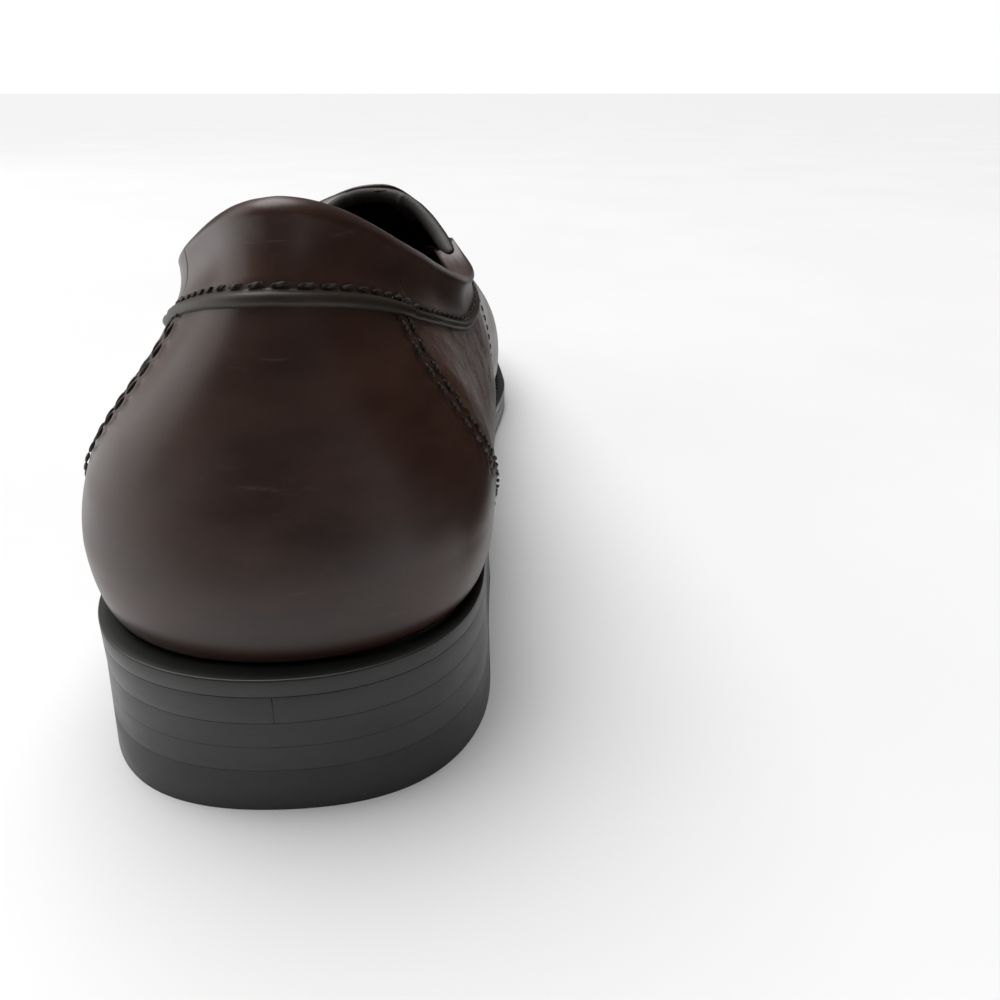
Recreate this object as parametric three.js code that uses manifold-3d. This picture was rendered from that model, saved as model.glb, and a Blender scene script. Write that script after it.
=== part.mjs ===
// Penny loafer, left foot. Millimetres, +Z up, toe towards -Y, outer (lateral) side towards +X.
// The origin is the centre of the bounding box at floor level.
//
// Every leather panel is a patch of one shared surface, the outside of the upper. A point of it
// is named by a station c (0 at the back of the heel, growing along the lateral side to 1 at the
// toe tip and on along the medial side to 2, which is the heel again) and by a level v (0 at the
// feather edge, where the upper meets the sole, and 1 at the topline or the instep ridge).
// Distances along the foot are measured from the back of the heel.

import * as THREE from 'three';
import { mergeVertices } from 'three/addons/utils/BufferGeometryUtils.js';
import Module from 'manifold-3d';

const wasm = await Module();
wasm.setup();

// ---------------------------------------------------------------- driving dimensions

const gap = 0.3;                // clearance between touching pieces
const layerGap = 0.4;           // clearance between the layers of the upper

// Leather layers of the upper, from the outside inwards
const leatherThickness = 1.5;
const stiffenerThickness = 1.0;
const liningThickness = 0.9;
const stiffenerDepth = leatherThickness + layerGap;
const liningDepth = stiffenerDepth + stiffenerThickness + layerGap;
const tongueLiningDepth = stiffenerDepth;
const strapThickness = 1.5;

// Layers of the bottom
const weltThickness = 3.0;
const outsoleThickness = 4.5;
const insoleThickness = 2.5;
const sockThickness = 1.0;
const topLiftThickness = 7.6;
const heelLiftCount = 2;
const weltInset = 6;            // how far the welt reaches in under the upper
const outsoleDrop = weltThickness + outsoleThickness + 2 * gap;   // feather edge to tread

// Heel
const heelBreast = 74;          // heel back to the heel's front face
const breastHollow = 4;         // depth of that face's curve
const heelFlare = 0.9;          // how far each side of the heel spreads from its seat to the floor
const flareStation = 0.07;      // the back of the heel, up to here, spreads less
const nailRadius = 1.1;
const nailPlaces = [[0, 16], [-16, 28], [16, 28], [-15, 52], [15, 52]];   // across, along

// Shank, a steel strip under the waist
const shankWidth = 14;
const shankThickness = 1.4;
const shankStart = 70;
const shankEnd = 148;
const shankShift = -3;          // towards the medial side

// Plan of the upper: half widths from the heel's centre line, as [distance, half width]
const lateralSide = curve([[0, 42.5], [45, 36.2], [90, 38.3], [135, 40], [170, 45], [205, 49],
  [250, 48], [290, 45]]);
const medialSide = curve([[0, 42.5], [45, 34.9], [90, 36.6], [135, 34.5], [170, 38.4], [205, 42.5],
  [240, 42.5], [290, 39]]);
const spine = curve([[0, 0], [40, 0], [115, -5], [180, -5], [240, -5], [290, -7]]);
const topLean = curve([[0, -5.3], [15, -5.3], [40, -3.6], [70, -4.3], [118, -4.5], [180, -3],
  [240, 0]]);                   // how far the top leans towards the medial side
const topHalfWidth = curve([[0, 14.3], [15, 14.3], [40, 18.7], [70, 23.6], [86, 23.2], [98, 20.5],
  [108, 18.4], [116, 17.4]]);

// Heights above the floor
const featherHeight = curve([[0, 24.9], [72, 24.9], [95, 22], [130, 15.2], [165, 9.4], [188, 8.1],
  [208, 8.1], [230, 9.3], [255, 12.2], [290, 17.6]]);
const widestHeight = curve([[0, 36.9], [40, 36.9], [90, 35.5], [140, 28], [200, 19], [250, 21],
  [290, 27]]);
const topHeight = curve([[0, 93.1], [8, 92.3], [40, 80.6], [70, 70.5], [84, 69], [98, 71.8],
  [108, 77.5], [117, 82.2], [150, 74.2], [200, 58], [225, 53], [250, 49], [290, 45]]);

// Shape of the cross section between the widest point and the top
const bellyRise = curve([[0, 0.44], [60, 0.44], [118, 0.42], [160, 0.45], [290, 0.5]]);
const shoulderWidth = curve([[0, 0.12], [60, 0.12], [118, 0.42], [160, 0.55], [290, 0.6]]);
const shoulderDrop = curve([[0, 0.43], [60, 0.43], [112, 0.02], [160, 0], [290, 0]]);
const featherInset = 3.5;       // the upper turns in this far at its foot

// Ends of the upper
const toeEnd = 290;
const toeSlope = 46;            // how far back the ridge ends from the toe
const toeStraight = 200;        // where the toe's curve starts
const toeSquareness = 2.1;
const heelBackFoot = 4.1;       // distance of the upper's back from the ledge's, at three levels
const heelBackBelly = 2.8;
const heelBackTop = 12.6;
const heelCapFoot = 43.2;       // length of the heel's rounded end
const heelCapTop = 33.7;
const heelSquarenessFoot = 2.06;
const heelSquarenessTop = 1.83;
const mouthEnd = 116;           // front of the foot opening
const mouthRound = 30;          // length over which the opening closes

// Levels and stations where the pieces meet
const bellyLevel = 0.2;
const heelStation = 0.2;        // end of the rounded heel
const toeStation = 0.78;        // start of the rounded toe
const collarLevel = curve([[0, 0.815], [0.12, 0.8], [0.26, 0.775], [0.46, 0.76]]);
const vSeam = curve([[0, 0.25], [0.3, 0.185], [0.45, 0.155], [0.6, 0.142], [0.85, 0.136]]);
const collarJoint = 0.14;
const collarEnd = 0.43;
const strapBack = curve([[0, 0.44], [0.4, 0.487], [0.75, 0.542], [0.93, 0.553], [1, 0.553]]);
const strapFront = curve([[0, 0.63], [0.4, 0.622], [0.75, 0.63], [0.93, 0.664], [1, 0.668]]);
const strapFoot = 0.07;
const tongueFoot = 0.785;       // lowest level of the tongue's wings
const liningFoot = 0.04;
const apronLevel = curve([[0.5, 0.6], [0.7, 0.62], [0.85, 0.66], [1, 0.7]]);
const quarterTuck = 0.03;       // how far the quarters run on under the strap
const stationGap = 0.003;
const levelGap = 0.008;

// Ledge that the sole shows outside the upper, and the insole's distance inside the feather edge
const lateralLedge = curve([[0, 4.1], [0.07, 4.3], [0.12, 3.5], [0.2, 2.2], [0.35, 2], [0.5, 3.4],
  [0.62, 5], [1, 5.5]]);
const medialLedge = curve([[0, 4.1], [0.07, 3.8], [0.12, 2.7], [0.2, 1.5], [0.35, 1.6], [0.5, 3.4],
  [0.62, 5], [1, 5.5]]);
const insoleInset = bothSides(curve([[0, 4.8], [0.1, 3.5], [0.2, 0.6], [1, 0.6]]));
const sockInset = bothSides(curve([[0, 5.4], [0.1, 5], [0.2, 2.8], [1, 2.8]]));

// Penny slot in the strap
const slotLength = 17;
const slotWidth = 4.5;

// ---------------------------------------------------------------- surface of the upper

/** Smooth curve through [place, value] knots, flat at each high and low point. */
function curve(knots) {
  const rise = (i) => (knots[i + 1][1] - knots[i][1]) / (knots[i + 1][0] - knots[i][0]);
  const last = knots.length - 1;
  const slopes = knots.map((knot, i) => {
    if (i === 0) return rise(0);
    if (i === last) return rise(last - 1);
    if (rise(i - 1) * rise(i) <= 0) return 0;
    const before = knots[i][0] - knots[i - 1][0];
    const after = knots[i + 1][0] - knots[i][0];
    return (rise(i - 1) * after + rise(i) * before) / (before + after);
  });
  return (place) => {
    const t = THREE.MathUtils.clamp(place, knots[0][0], knots[last][0]);
    let i = 0;
    while (i < last - 1 && t >= knots[i + 1][0]) i += 1;
    const step = knots[i + 1][0] - knots[i][0];
    const s = (t - knots[i][0]) / step;
    const ease = s * s * (3 - 2 * s);
    return knots[i][1] * (1 - ease) + knots[i + 1][1] * ease
      + s * (1 - s) ** 2 * step * slopes[i]
      - s * s * (1 - s) * step * slopes[i + 1];
  };
}

/** Point of the upper's outside at station c and level v. */
function upperPoint(c, v) {
  const station = c > 1 ? 2 - c : Math.abs(c);
  const lateral = c >= 0 && c <= 1;
  const foot = Math.min(v / bellyLevel, 1) * Math.PI / 2;
  const rise = Math.max((v - bellyLevel) / (1 - bellyLevel), 0);

  // Back and toe of this level, and the straight run between the rounded ends
  const back = v < bellyLevel
    ? heelBackBelly + (heelBackFoot - heelBackBelly) * (1 - Math.sin(foot))
    : heelBackBelly + (heelBackTop - heelBackBelly) * rise ** 1.7;
  const toe = toeEnd - featherInset * (1 - Math.sin(foot)) - toeSlope * (1 - Math.sqrt(1 - rise ** 2));
  const runStart = THREE.MathUtils.lerp(heelCapFoot, heelCapTop, rise) + back;
  const runEnd = toeStraight - 0.55 * (toeEnd - toe);
  const squareness = THREE.MathUtils.lerp(heelSquarenessFoot, heelSquarenessTop, rise);

  let along = THREE.MathUtils.mapLinear(station, heelStation, toeStation, runStart, runEnd);
  let across = 1;
  if (station < heelStation) {
    const turn = station / heelStation * Math.PI / 2;
    along = runStart - (runStart - back) * Math.cos(turn) ** (2 / squareness);
    across = Math.sin(turn) ** (2 / squareness);
  } else if (station > toeStation) {
    const turn = Math.max((1 - station) / (1 - toeStation), 0) * Math.PI / 2;
    along = runEnd + (toe - runEnd) * Math.cos(turn) ** (2 / toeSquareness);
    across = Math.sin(turn) ** (2 / toeSquareness);
  }

  // Cross section: a quarter round at the foot, then one cubic from the belly to the top
  const centre = spine(along);
  const wide = lateral ? lateralSide(along) - centre : medialSide(along) + centre;
  const open = THREE.MathUtils.clamp((mouthEnd - along) / mouthRound, 0, 1);
  const topWide = topHalfWidth(along) * Math.sqrt(1 - (1 - open) ** 2);
  const belly = widestHeight(along);
  const top = topHeight(along);
  let half = wide - featherInset * (1 - Math.sin(foot));
  let height = belly - (belly - featherHeight(along)) * Math.cos(foot);
  if (v >= bellyLevel) {
    const shoulder = topWide + shoulderWidth(along) * (wide - topWide);
    half = bezier(rise, wide, wide, shoulder, topWide);
    height = bezier(rise, belly, belly + bellyRise(along) * (top - belly),
      top - shoulderDrop(along) * (top - belly), top);
  }
  const side = lateral ? 1 : -1;
  return new THREE.Vector3(centre + topLean(along) * rise + side * half * across, -along, height);
}

function bezier(s, a, b, c, d) {
  return a * (1 - s) ** 3 + 3 * b * s * (1 - s) ** 2 + 3 * c * s * s * (1 - s) + d * s ** 3;
}

/** Direction out of the upper at station c and level v. */
function upperNormal(c, v) {
  const step = 0.002;
  const station = THREE.MathUtils.clamp(c, -1 + step, 2 - step);
  const level = THREE.MathUtils.clamp(v, 0, 1 - step);
  const along = upperPoint(station + step, level).sub(upperPoint(station - step, level));
  const up = upperPoint(station, level + step).sub(upperPoint(station, level));
  return up.cross(along).normalize();
}

// ---------------------------------------------------------------- solids

/** Closed body from a skin of triangles with one point pushed to each side of it. */
function thickSkin(points, normals, faces, outer, inner) {
  const skin = weld(points, normals, faces);
  const count = skin.points.length;
  const shifted = (distance) => skin.points.map((point, i) => (
    point.clone().addScaledVector(skin.normals[i], distance)));
  const edges = new Map();
  const triangles = [];
  for (const [a, b, c] of skin.faces) {
    triangles.push(a, b, c, count + a, count + c, count + b);
    for (const [from, to] of [[a, b], [b, c], [c, a]]) {
      if (!edges.delete(`${to} ${from}`)) edges.set(`${from} ${to}`, [from, to]);
    }
  }
  for (const [from, to] of edges.values()) {
    triangles.push(from, count + to, to, from, count + from, count + to);
  }
  return bodyGeometry([...shifted(outer), ...shifted(inner)], triangles);
}

/** Joins points that lie on each other, such as the two sides of the instep ridge. */
function weld(points, normals, faces) {
  const places = new Map();
  const index = points.map((point, i) => {
    const key = point.toArray().map((value) => Math.round(value * 1000)).join(' ');
    if (!places.has(key)) places.set(key, { point, normal: new THREE.Vector3(), index: places.size });
    const place = places.get(key);
    place.normal.add(normals[i]);
    return place.index;
  });
  const kept = [...places.values()];
  return {
    points: kept.map((place) => place.point),
    normals: kept.map((place) => place.normal.normalize()),
    faces: faces.map((face) => face.map((corner) => index[corner]))
      .filter(([a, b, c]) => a !== b && b !== c && c !== a),
  };
}

function bodyGeometry(points, triangles) {
  const geometry = new THREE.BufferGeometry();
  geometry.setAttribute('position', new THREE.Float32BufferAttribute(
    points.flatMap((point) => point.toArray()), 3));
  geometry.setIndex(triangles);
  return geometry;
}

/** Panel of the upper: place(p, q) gives its station and level, p and q running from 0 to 1. */
function panel(place, columns, rows, outerDepth, thickness) {
  const points = [];
  const normals = [];
  for (let row = 0; row <= rows; row += 1) {
    for (let column = 0; column <= columns; column += 1) {
      const [c, v] = place(column / columns, row / rows);
      points.push(upperPoint(c, v));
      normals.push(upperNormal(c, v));
    }
  }
  return thickSkin(points, normals, gridFaces(columns, rows), -outerDepth, -outerDepth - thickness);
}

/** Triangles of a grid whose columns run with the stations and whose rows run up. */
function gridFaces(columns, rows) {
  const faces = [];
  for (let row = 0; row < rows; row += 1) {
    for (let column = 0; column < columns; column += 1) {
      const corner = row * (columns + 1) + column;
      const above = corner + columns + 1;
      faces.push([corner, above, corner + 1], [corner + 1, above, above + 1]);
    }
  }
  return faces;
}

/** Solid swept through rings of four points each, closed at both ends. */
function sweep(rings) {
  const triangles = [0, 2, 1, 0, 3, 2];
  for (let ring = 0; ring < rings.length - 1; ring += 1) {
    for (let side = 0; side < 4; side += 1) {
      const a = ring * 4 + side;
      const b = ring * 4 + (side + 1) % 4;
      triangles.push(a, b, b + 4, a, b + 4, a + 4);
    }
  }
  const end = (rings.length - 1) * 4;
  triangles.push(end, end + 1, end + 2, end, end + 2, end + 3);
  return bodyGeometry(rings.flat(), triangles);
}

/** Point of the sole's plan at station c, pushed out past the feather edge. */
function planPoint(c, push) {
  const step = 0.002;
  const station = THREE.MathUtils.clamp(c, step, 2 - step);
  const along = upperPoint(station + step, 0).sub(upperPoint(station - step, 0));
  const out = new THREE.Vector3(-along.y, along.x, 0).normalize();
  return upperPoint(c, 0).addScaledVector(out, push);
}

/** Width of the ledge that the sole shows outside the upper. */
function ledge(c) {
  return c > 1 ? medialLedge(2 - c) : lateralLedge(c);
}

/** Value of a curve of stations, the same on both sides of the foot. */
function bothSides(stationCurve) {
  return (c) => stationCurve(c > 1 ? 2 - c : c);
}

/** Level plate across the sole between two stations, its faces following the feather edge. */
function plate(from, to, steps, push, bottom, top) {
  const rings = [];
  for (let i = 0; i <= steps; i += 1) {
    const c = THREE.MathUtils.lerp(from, to, i / steps);
    const lateral = planPoint(c, push(c));
    const medial = planPoint(2 - c, push(2 - c));
    rings.push([
      atHeight(medial, bottom), atHeight(lateral, bottom), atHeight(lateral, top), atHeight(medial, top),
    ]);
  }
  return sweep(rings);
}

/** Strip round the sole between two stations, from the ledge's edge to inside the upper. */
function rim(from, to, steps, bottom, top) {
  const rings = [];
  for (let i = 0; i <= steps; i += 1) {
    const c = THREE.MathUtils.lerp(from, to, i / steps);
    const station = (c + 2) % 2;
    const outer = planPoint(station, ledge(station));
    const inner = planPoint(station, -weltInset);
    rings.push([
      atHeight(inner, bottom), atHeight(outer, bottom), atHeight(outer, top), atHeight(inner, top),
    ]);
  }
  return sweep(rings);
}

/** The point at a height measured from the feather edge there. */
function atHeight(point, offset) {
  return new THREE.Vector3(point.x, point.y, featherHeight(-point.y) + offset);
}

// ---------------------------------------------------------------- joining and cutting

function toManifold(geometry) {
  const bare = geometry.clone();
  bare.deleteAttribute('normal');
  bare.deleteAttribute('uv');
  const merged = mergeVertices(bare, 1e-4);
  return new wasm.Manifold(new wasm.Mesh({
    numProp: 3,
    vertProperties: new Float32Array(merged.getAttribute('position').array),
    triVerts: new Uint32Array(merged.getIndex().array),
  }));
}

function cut(geometry, tools) {
  let body = toManifold(geometry);
  for (const tool of tools) body = body.subtract(toManifold(tool));
  const mesh = body.getMesh();
  const result = new THREE.BufferGeometry();
  result.setAttribute('position', new THREE.BufferAttribute(mesh.vertProperties, 3));
  result.setIndex(new THREE.BufferAttribute(mesh.triVerts, 1));
  return result;
}

// ---------------------------------------------------------------- finishes

const finishes = {
  upper: { color: 0x3b1a18, roughness: 0.35, metalness: 0 },
  quarter: { color: 0x5a2a1c, roughness: 0.45, metalness: 0 },
  lining: { color: 0x1a1412, roughness: 0.8, metalness: 0 },
  sole: { color: 0x15140f, roughness: 0.5, metalness: 0 },
  rubber: { color: 0x101010, roughness: 0.7, metalness: 0 },
  fibre: { color: 0x6a5540, roughness: 0.9, metalness: 0 },
  cork: { color: 0x9a7048, roughness: 0.95, metalness: 0 },
  steel: { color: 0x9a9a9c, roughness: 0.35, metalness: 1 },
  brass: { color: 0xb08a45, roughness: 0.35, metalness: 1 },
};

const shoe = new THREE.Group();

function add(name, finish, geometry) {
  const mesh = new THREE.Mesh(geometry, new THREE.MeshStandardMaterial(finishes[finish]));
  mesh.name = name;
  shoe.add(mesh);
}

// ---------------------------------------------------------------- upper

const mix = THREE.MathUtils.lerp;
const sides = [
  { name: 'lateral', station: (c) => c, flip: false },
  { name: 'medial', station: (c) => 2 - c, flip: true },
];

/** Panel on one side, given for the lateral side and mirrored in station for the medial one. */
function sidePanel(side, place, columns, rows, depth, thickness) {
  return panel((p, q) => {
    const [c, v] = place(side.flip ? 1 - p : p, q);
    return [side.station(c), v];
  }, columns, rows, depth, thickness);
}

function addCounter() {
  const edge = (v) => vSeam(v) - stationGap;
  add('back_counter', 'upper', panel((p, q) => {
    const side = mix(-1, 1, p);
    const v = q * (collarLevel(Math.abs(side) * collarJoint) - levelGap);
    return [side * edge(v), v];
  }, 30, 9, 0, leatherThickness));
  add('counter_stiffener', 'fibre', panel((p, q) => [mix(-0.3, 0.3, p), mix(0.12, 0.76, q)],
    36, 8, stiffenerDepth, stiffenerThickness));
}

function addCollar() {
  const band = (c, q) => mix(collarLevel(Math.abs(c)) + levelGap, 1, q);
  add('collar_back', 'upper', panel((p, q) => {
    const c = mix(-collarJoint, collarJoint, p);
    return [c, band(c, q)];
  }, 22, 4, 0, leatherThickness));
  for (const side of sides) {
    add(`collar_${side.name}`, 'upper', sidePanel(side, (p, q) => {
      const c = mix(collarJoint + stationGap, collarEnd, p);
      return [c, band(c, q)];
    }, 14, 3, 0, leatherThickness));
  }
  add('topline_padding', 'fibre', panel((p, q) => {
    const c = mix(-collarEnd, collarEnd, p);
    return [c, mix(0.85, 0.96, q)];
  }, 60, 2, stiffenerDepth, stiffenerThickness));
}

function addQuarters() {
  for (const side of sides) {
    add(`quarter_${side.name}`, 'quarter', sidePanel(side, (p, q) => {
      const guess = q * 0.77;
      const c = mix(vSeam(guess) + stationGap, strapBack(guess) + quarterTuck, p);
      const v = q * (collarLevel(c) - levelGap);
      return [c, v];
    }, 20, 7, 0, leatherThickness));
  }
}

function addTongue() {
  const place = (p, q) => {
    const side = mix(-1, 1, q);
    const v = mix(1, tongueFoot, Math.abs(side));
    const c = mix(collarEnd + 2 * stationGap, strapBack(v) - 2 * stationGap, p);
    return [side > 0 ? 2 - c : c, v];
  };
  add('tongue', 'upper', foldedPanel(place, 8, 8, 0, leatherThickness));
  add('tongue_lining', 'lining', foldedPanel(place, 8, 8, tongueLiningDepth, liningThickness));
}

/** Panel that crosses the ridge: the rows run up the lateral side, over and down the medial one. */
function foldedPanel(place, columns, rows, outerDepth, thickness) {
  const half = rows / 2;
  const points = [];
  const normals = [];
  for (let row = 0; row <= rows + 1; row += 1) {
    const medial = row > half;
    const q = (medial ? row - 1 : row) / rows;
    for (let column = 0; column <= columns; column += 1) {
      const [station, v] = place(column / columns, q);
      const c = medial && station <= 1 ? 2 - station : station;
      points.push(upperPoint(c, v));
      normals.push(upperNormal(c, v));
    }
  }
  const row = columns + 1;
  const seam = (half + 1) * row;
  const faces = gridFaces(columns, rows + 1).filter((face) => !(
    Math.min(...face) >= seam - row && Math.max(...face) < seam + row));
  return thickSkin(points, normals, faces, -outerDepth, -outerDepth - thickness);
}

function addStrap() {
  const place = (p, q) => {
    const side = mix(-1, 1, q);
    const v = mix(1, strapFoot, Math.abs(side));
    const c = mix(strapBack(v), strapFront(v), p);
    return [side > 0 ? 2 - c : c, v];
  };
  const blank = foldedPanel(place, 6, 26, -gap - strapThickness, strapThickness);
  const middle = upperPoint((strapBack(1) + strapFront(1)) / 2, 1);
  const lens = new THREE.Shape();
  lens.moveTo(-slotLength / 2, 0);
  lens.quadraticCurveTo(0, slotWidth, slotLength / 2, 0);
  lens.quadraticCurveTo(0, -slotWidth, -slotLength / 2, 0);
  const slot = new THREE.ExtrudeGeometry(lens, { depth: 14, bevelEnabled: false, curveSegments: 6 });
  slot.translate(middle.x, middle.y, middle.z - 7);
  add('saddle_strap', 'upper', cut(blank, [slot]));
}

function addForepart() {
  const start = (v) => strapBack(v) + quarterTuck + stationGap;
  const around = (p, v) => mix(start(v), 2 - start(v), p);
  const folded = (c) => (c > 1 ? 2 - c : c);
  add('vamp', 'upper', panel((p, q) => {
    const c = around(p, q * 0.62);
    return [c, q * (apronLevel(folded(c)) - levelGap)];
  }, 42, 6, 0, leatherThickness));
  add('apron', 'upper', panel((p, q) => {
    const c = around(p, mix(0.62, 1, q));
    return [c, mix(apronLevel(folded(c)), 1, q)];
  }, 36, 5, 0, leatherThickness));
  add('toe_puff', 'fibre', panel((p, q) => [mix(0.8, 1.2, p), mix(0.1, 0.9, q)],
    30, 8, stiffenerDepth, stiffenerThickness));
}

function addLinings() {
  add('heel_lining', 'lining', panel((p, q) => [mix(-0.15, 0.15, p), mix(liningFoot, 1, q)],
    20, 10, liningDepth, liningThickness));
  const top = curve([[0.15, 1], [0.4, 1], [0.45, 0.74], [0.56, 0.7]]);
  for (const side of sides) {
    add(`quarter_lining_${side.name}`, 'lining', sidePanel(side, (p, q) => {
      const c = mix(0.15 + stationGap, 0.555, p);
      return [c, mix(liningFoot, top(c), q)];
    }, 28, 9, liningDepth, liningThickness));
  }
  add('vamp_lining', 'lining', panel((p, q) => [mix(0.56, 1.44, p), mix(liningFoot, 1, q)],
    40, 8, liningDepth, liningThickness));
}

// ---------------------------------------------------------------- bottom

function addSole() {
  const weltTop = -gap;
  const weltBottom = weltTop - weltThickness;
  const soleTop = weltBottom - gap;
  const soleBottom = soleTop - outsoleThickness;
  const shorten = 0.004;        // keeps the plates' ends a little blunt
  const inside = (distance) => () => -distance;

  add('heel_rand', 'sole', rim(-0.29, 0.29, 28, weltBottom, weltTop));
  add('welt', 'sole', rim(0.294, 2 - 0.294, 46, weltBottom, weltTop));
  add('outsole', 'sole', cut(plate(shorten, 1 - shorten, 44, ledge, soleBottom, soleTop),
    nailPlaces.map(([across, along]) => nailHole(across, along))));
  add('insole', 'fibre', plate(shorten, 1 - shorten, 30, (c) => -insoleInset(c), 0, insoleThickness));
  add('sock_lining', 'lining', plate(shorten, 1 - shorten, 30, (c) => -sockInset(c),
    insoleThickness + gap, insoleThickness + gap + sockThickness));
  add('seat_filler', 'fibre', plate(shorten, 0.27, 12, inside(weltInset + gap), weltBottom, weltTop));
  add('cork_filler', 'cork', plate(0.6, 1 - shorten, 24, inside(weltInset + 2 * gap), weltBottom, weltTop));
  add('shank', 'steel', shankGeometry(weltTop - gap));
}

function shankGeometry(top) {
  const rings = [];
  const steps = 10;
  for (let i = 0; i <= steps; i += 1) {
    const along = mix(shankStart, shankEnd, i / steps);
    const taper = shankWidth / 2 * (0.7 + 0.3 * Math.sin(Math.PI * i / steps));
    const height = featherHeight(along) + top;
    const corner = (across, drop) => new THREE.Vector3(shankShift + across, -along, height - drop);
    rings.push([
      corner(-taper, shankThickness), corner(taper, shankThickness), corner(taper, 0), corner(-taper, 0),
    ]);
  }
  return sweep(rings);
}

/** Outline of the heel, its sides flared out past the ledge, with its curved front face. */
function heelShape(flare) {
  const shape = new THREE.Shape();
  const breastStation = 0.31;
  const points = [];
  for (let i = -26; i <= 26; i += 1) {
    const c = (breastStation * i / 26 + 2) % 2;
    const spread = THREE.MathUtils.smoothstep(Math.min(c, 2 - c), 0, flareStation);
    points.push(planPoint(c, ledge(c) + flare * spread));
  }
  const rounded = points.filter((point) => -point.y <= heelBreast);
  rounded.forEach((point, i) => {
    if (i === 0) shape.moveTo(point.x, point.y);
    else shape.lineTo(point.x, point.y);
  });
  const first = rounded[0];
  shape.quadraticCurveTo((first.x + rounded.at(-1).x) / 2, first.y + 2 * breastHollow, first.x, first.y);
  return shape;
}

function nailHole(across, along) {
  const hole = new THREE.CylinderGeometry(nailRadius + gap, nailRadius + gap, 60, 8);
  hole.rotateX(Math.PI / 2);
  hole.translate(across, -along, 0);
  return hole;
}

function addHeel() {
  const seat = featherHeight(0) - outsoleDrop;      // underside of the outsole at the heel
  const lift = (bottom, thickness) => {
    const flare = heelFlare * (1 - (bottom + thickness / 2) / seat);
    const geometry = new THREE.ExtrudeGeometry(heelShape(flare), {
      depth: thickness, bevelEnabled: false, curveSegments: 8,
    });
    return geometry.translate(0, 0, bottom);
  };
  add('top_lift', 'rubber', lift(0, topLiftThickness));
  const stackBottom = topLiftThickness + gap;
  const pitch = (seat - stackBottom) / heelLiftCount;
  for (let i = 0; i < heelLiftCount; i += 1) {
    add(`heel_lift_${i + 1}`, 'sole', cut(lift(stackBottom + i * pitch, pitch - gap),
      nailPlaces.map(([across, along]) => nailHole(across, along))));
  }
  nailPlaces.forEach(([across, along], i) => {
    const length = outsoleDrop + seat - stackBottom - weltThickness - 3 * gap;
    const profile = [
      [0, 0], [nailRadius * 0.6, 0], [nailRadius, 2], [nailRadius, length], [0, length],
    ].map(([radius, height]) => new THREE.Vector2(radius, height));
    const nail = new THREE.LatheGeometry(profile, 8);
    nail.rotateX(Math.PI / 2);
    nail.translate(across, -along, stackBottom);
    add(`heel_nail_${i + 1}`, 'brass', nail);
  });
}

addCounter();
addCollar();
addQuarters();
addTongue();
addStrap();
addForepart();
addLinings();
addSole();
addHeel();

const box = new THREE.Box3().setFromObject(shoe);
const centre = box.getCenter(new THREE.Vector3());
shoe.position.set(-centre.x, -centre.y, 0);

const group = new THREE.Group();
group.add(shoe);
group.updateMatrixWorld(true);

export default group;
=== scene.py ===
import math

import bpy
import numpy as np
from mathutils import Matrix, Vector, kdtree, noise


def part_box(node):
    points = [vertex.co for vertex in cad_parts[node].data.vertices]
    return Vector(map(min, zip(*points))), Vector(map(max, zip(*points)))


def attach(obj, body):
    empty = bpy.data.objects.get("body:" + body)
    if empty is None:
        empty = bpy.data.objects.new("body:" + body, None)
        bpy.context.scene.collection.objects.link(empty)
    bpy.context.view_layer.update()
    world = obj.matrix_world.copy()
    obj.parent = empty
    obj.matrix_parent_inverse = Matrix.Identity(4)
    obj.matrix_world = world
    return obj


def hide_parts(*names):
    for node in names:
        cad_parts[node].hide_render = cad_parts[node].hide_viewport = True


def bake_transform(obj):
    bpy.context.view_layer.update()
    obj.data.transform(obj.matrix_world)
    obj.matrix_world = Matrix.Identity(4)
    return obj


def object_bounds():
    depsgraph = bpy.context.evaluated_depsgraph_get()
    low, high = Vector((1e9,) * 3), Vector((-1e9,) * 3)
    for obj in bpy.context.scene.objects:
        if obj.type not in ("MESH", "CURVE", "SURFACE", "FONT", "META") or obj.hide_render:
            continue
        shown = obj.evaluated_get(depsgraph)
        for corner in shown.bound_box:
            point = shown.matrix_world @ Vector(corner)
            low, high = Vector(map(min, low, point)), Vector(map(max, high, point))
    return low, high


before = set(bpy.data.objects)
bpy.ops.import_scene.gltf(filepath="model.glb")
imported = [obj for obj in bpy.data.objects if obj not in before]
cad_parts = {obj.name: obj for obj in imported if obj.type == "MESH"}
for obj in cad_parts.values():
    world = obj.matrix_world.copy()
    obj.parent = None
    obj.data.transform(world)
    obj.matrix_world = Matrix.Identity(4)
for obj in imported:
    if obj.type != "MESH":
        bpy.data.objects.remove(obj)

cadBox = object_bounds()

# The upper is one surface, named by a station (0 heel back, 1 toe tip, 2 heel back again by the
# medial side) and a level (0 feather edge, 1 topline or instep ridge). Lengths are millimetres
# until a mesh is made.
mm = 0.001
nailLow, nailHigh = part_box("heel_nail_1")
shift = np.array([(nailLow.x + nailHigh.x) / 2 / mm, cadBox[1][1] / mm, 0.0])


def curve(knots):
    places, values = np.array(knots, float).T
    steps = np.diff(places)
    rises = np.diff(values) / steps
    slopes = np.concatenate([rises[:1], np.zeros(len(steps) - 1), rises[-1:]])
    for i in range(1, len(steps)):
        if rises[i - 1] * rises[i] > 0:
            slopes[i] = (rises[i - 1] * steps[i] + rises[i] * steps[i - 1]) / (steps[i - 1] + steps[i])

    def at(place):
        t = np.clip(place, places[0], places[-1])
        i = np.clip(np.searchsorted(places, t, side="right") - 1, 0, len(steps) - 1)
        s = (t - places[i]) / steps[i]
        ease = s * s * (3 - 2 * s)
        bend = s * (1 - s) ** 2 * slopes[i] - s * s * (1 - s) * slopes[i + 1]
        return values[i] * (1 - ease) + values[i + 1] * ease + bend * steps[i]
    return at


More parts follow.
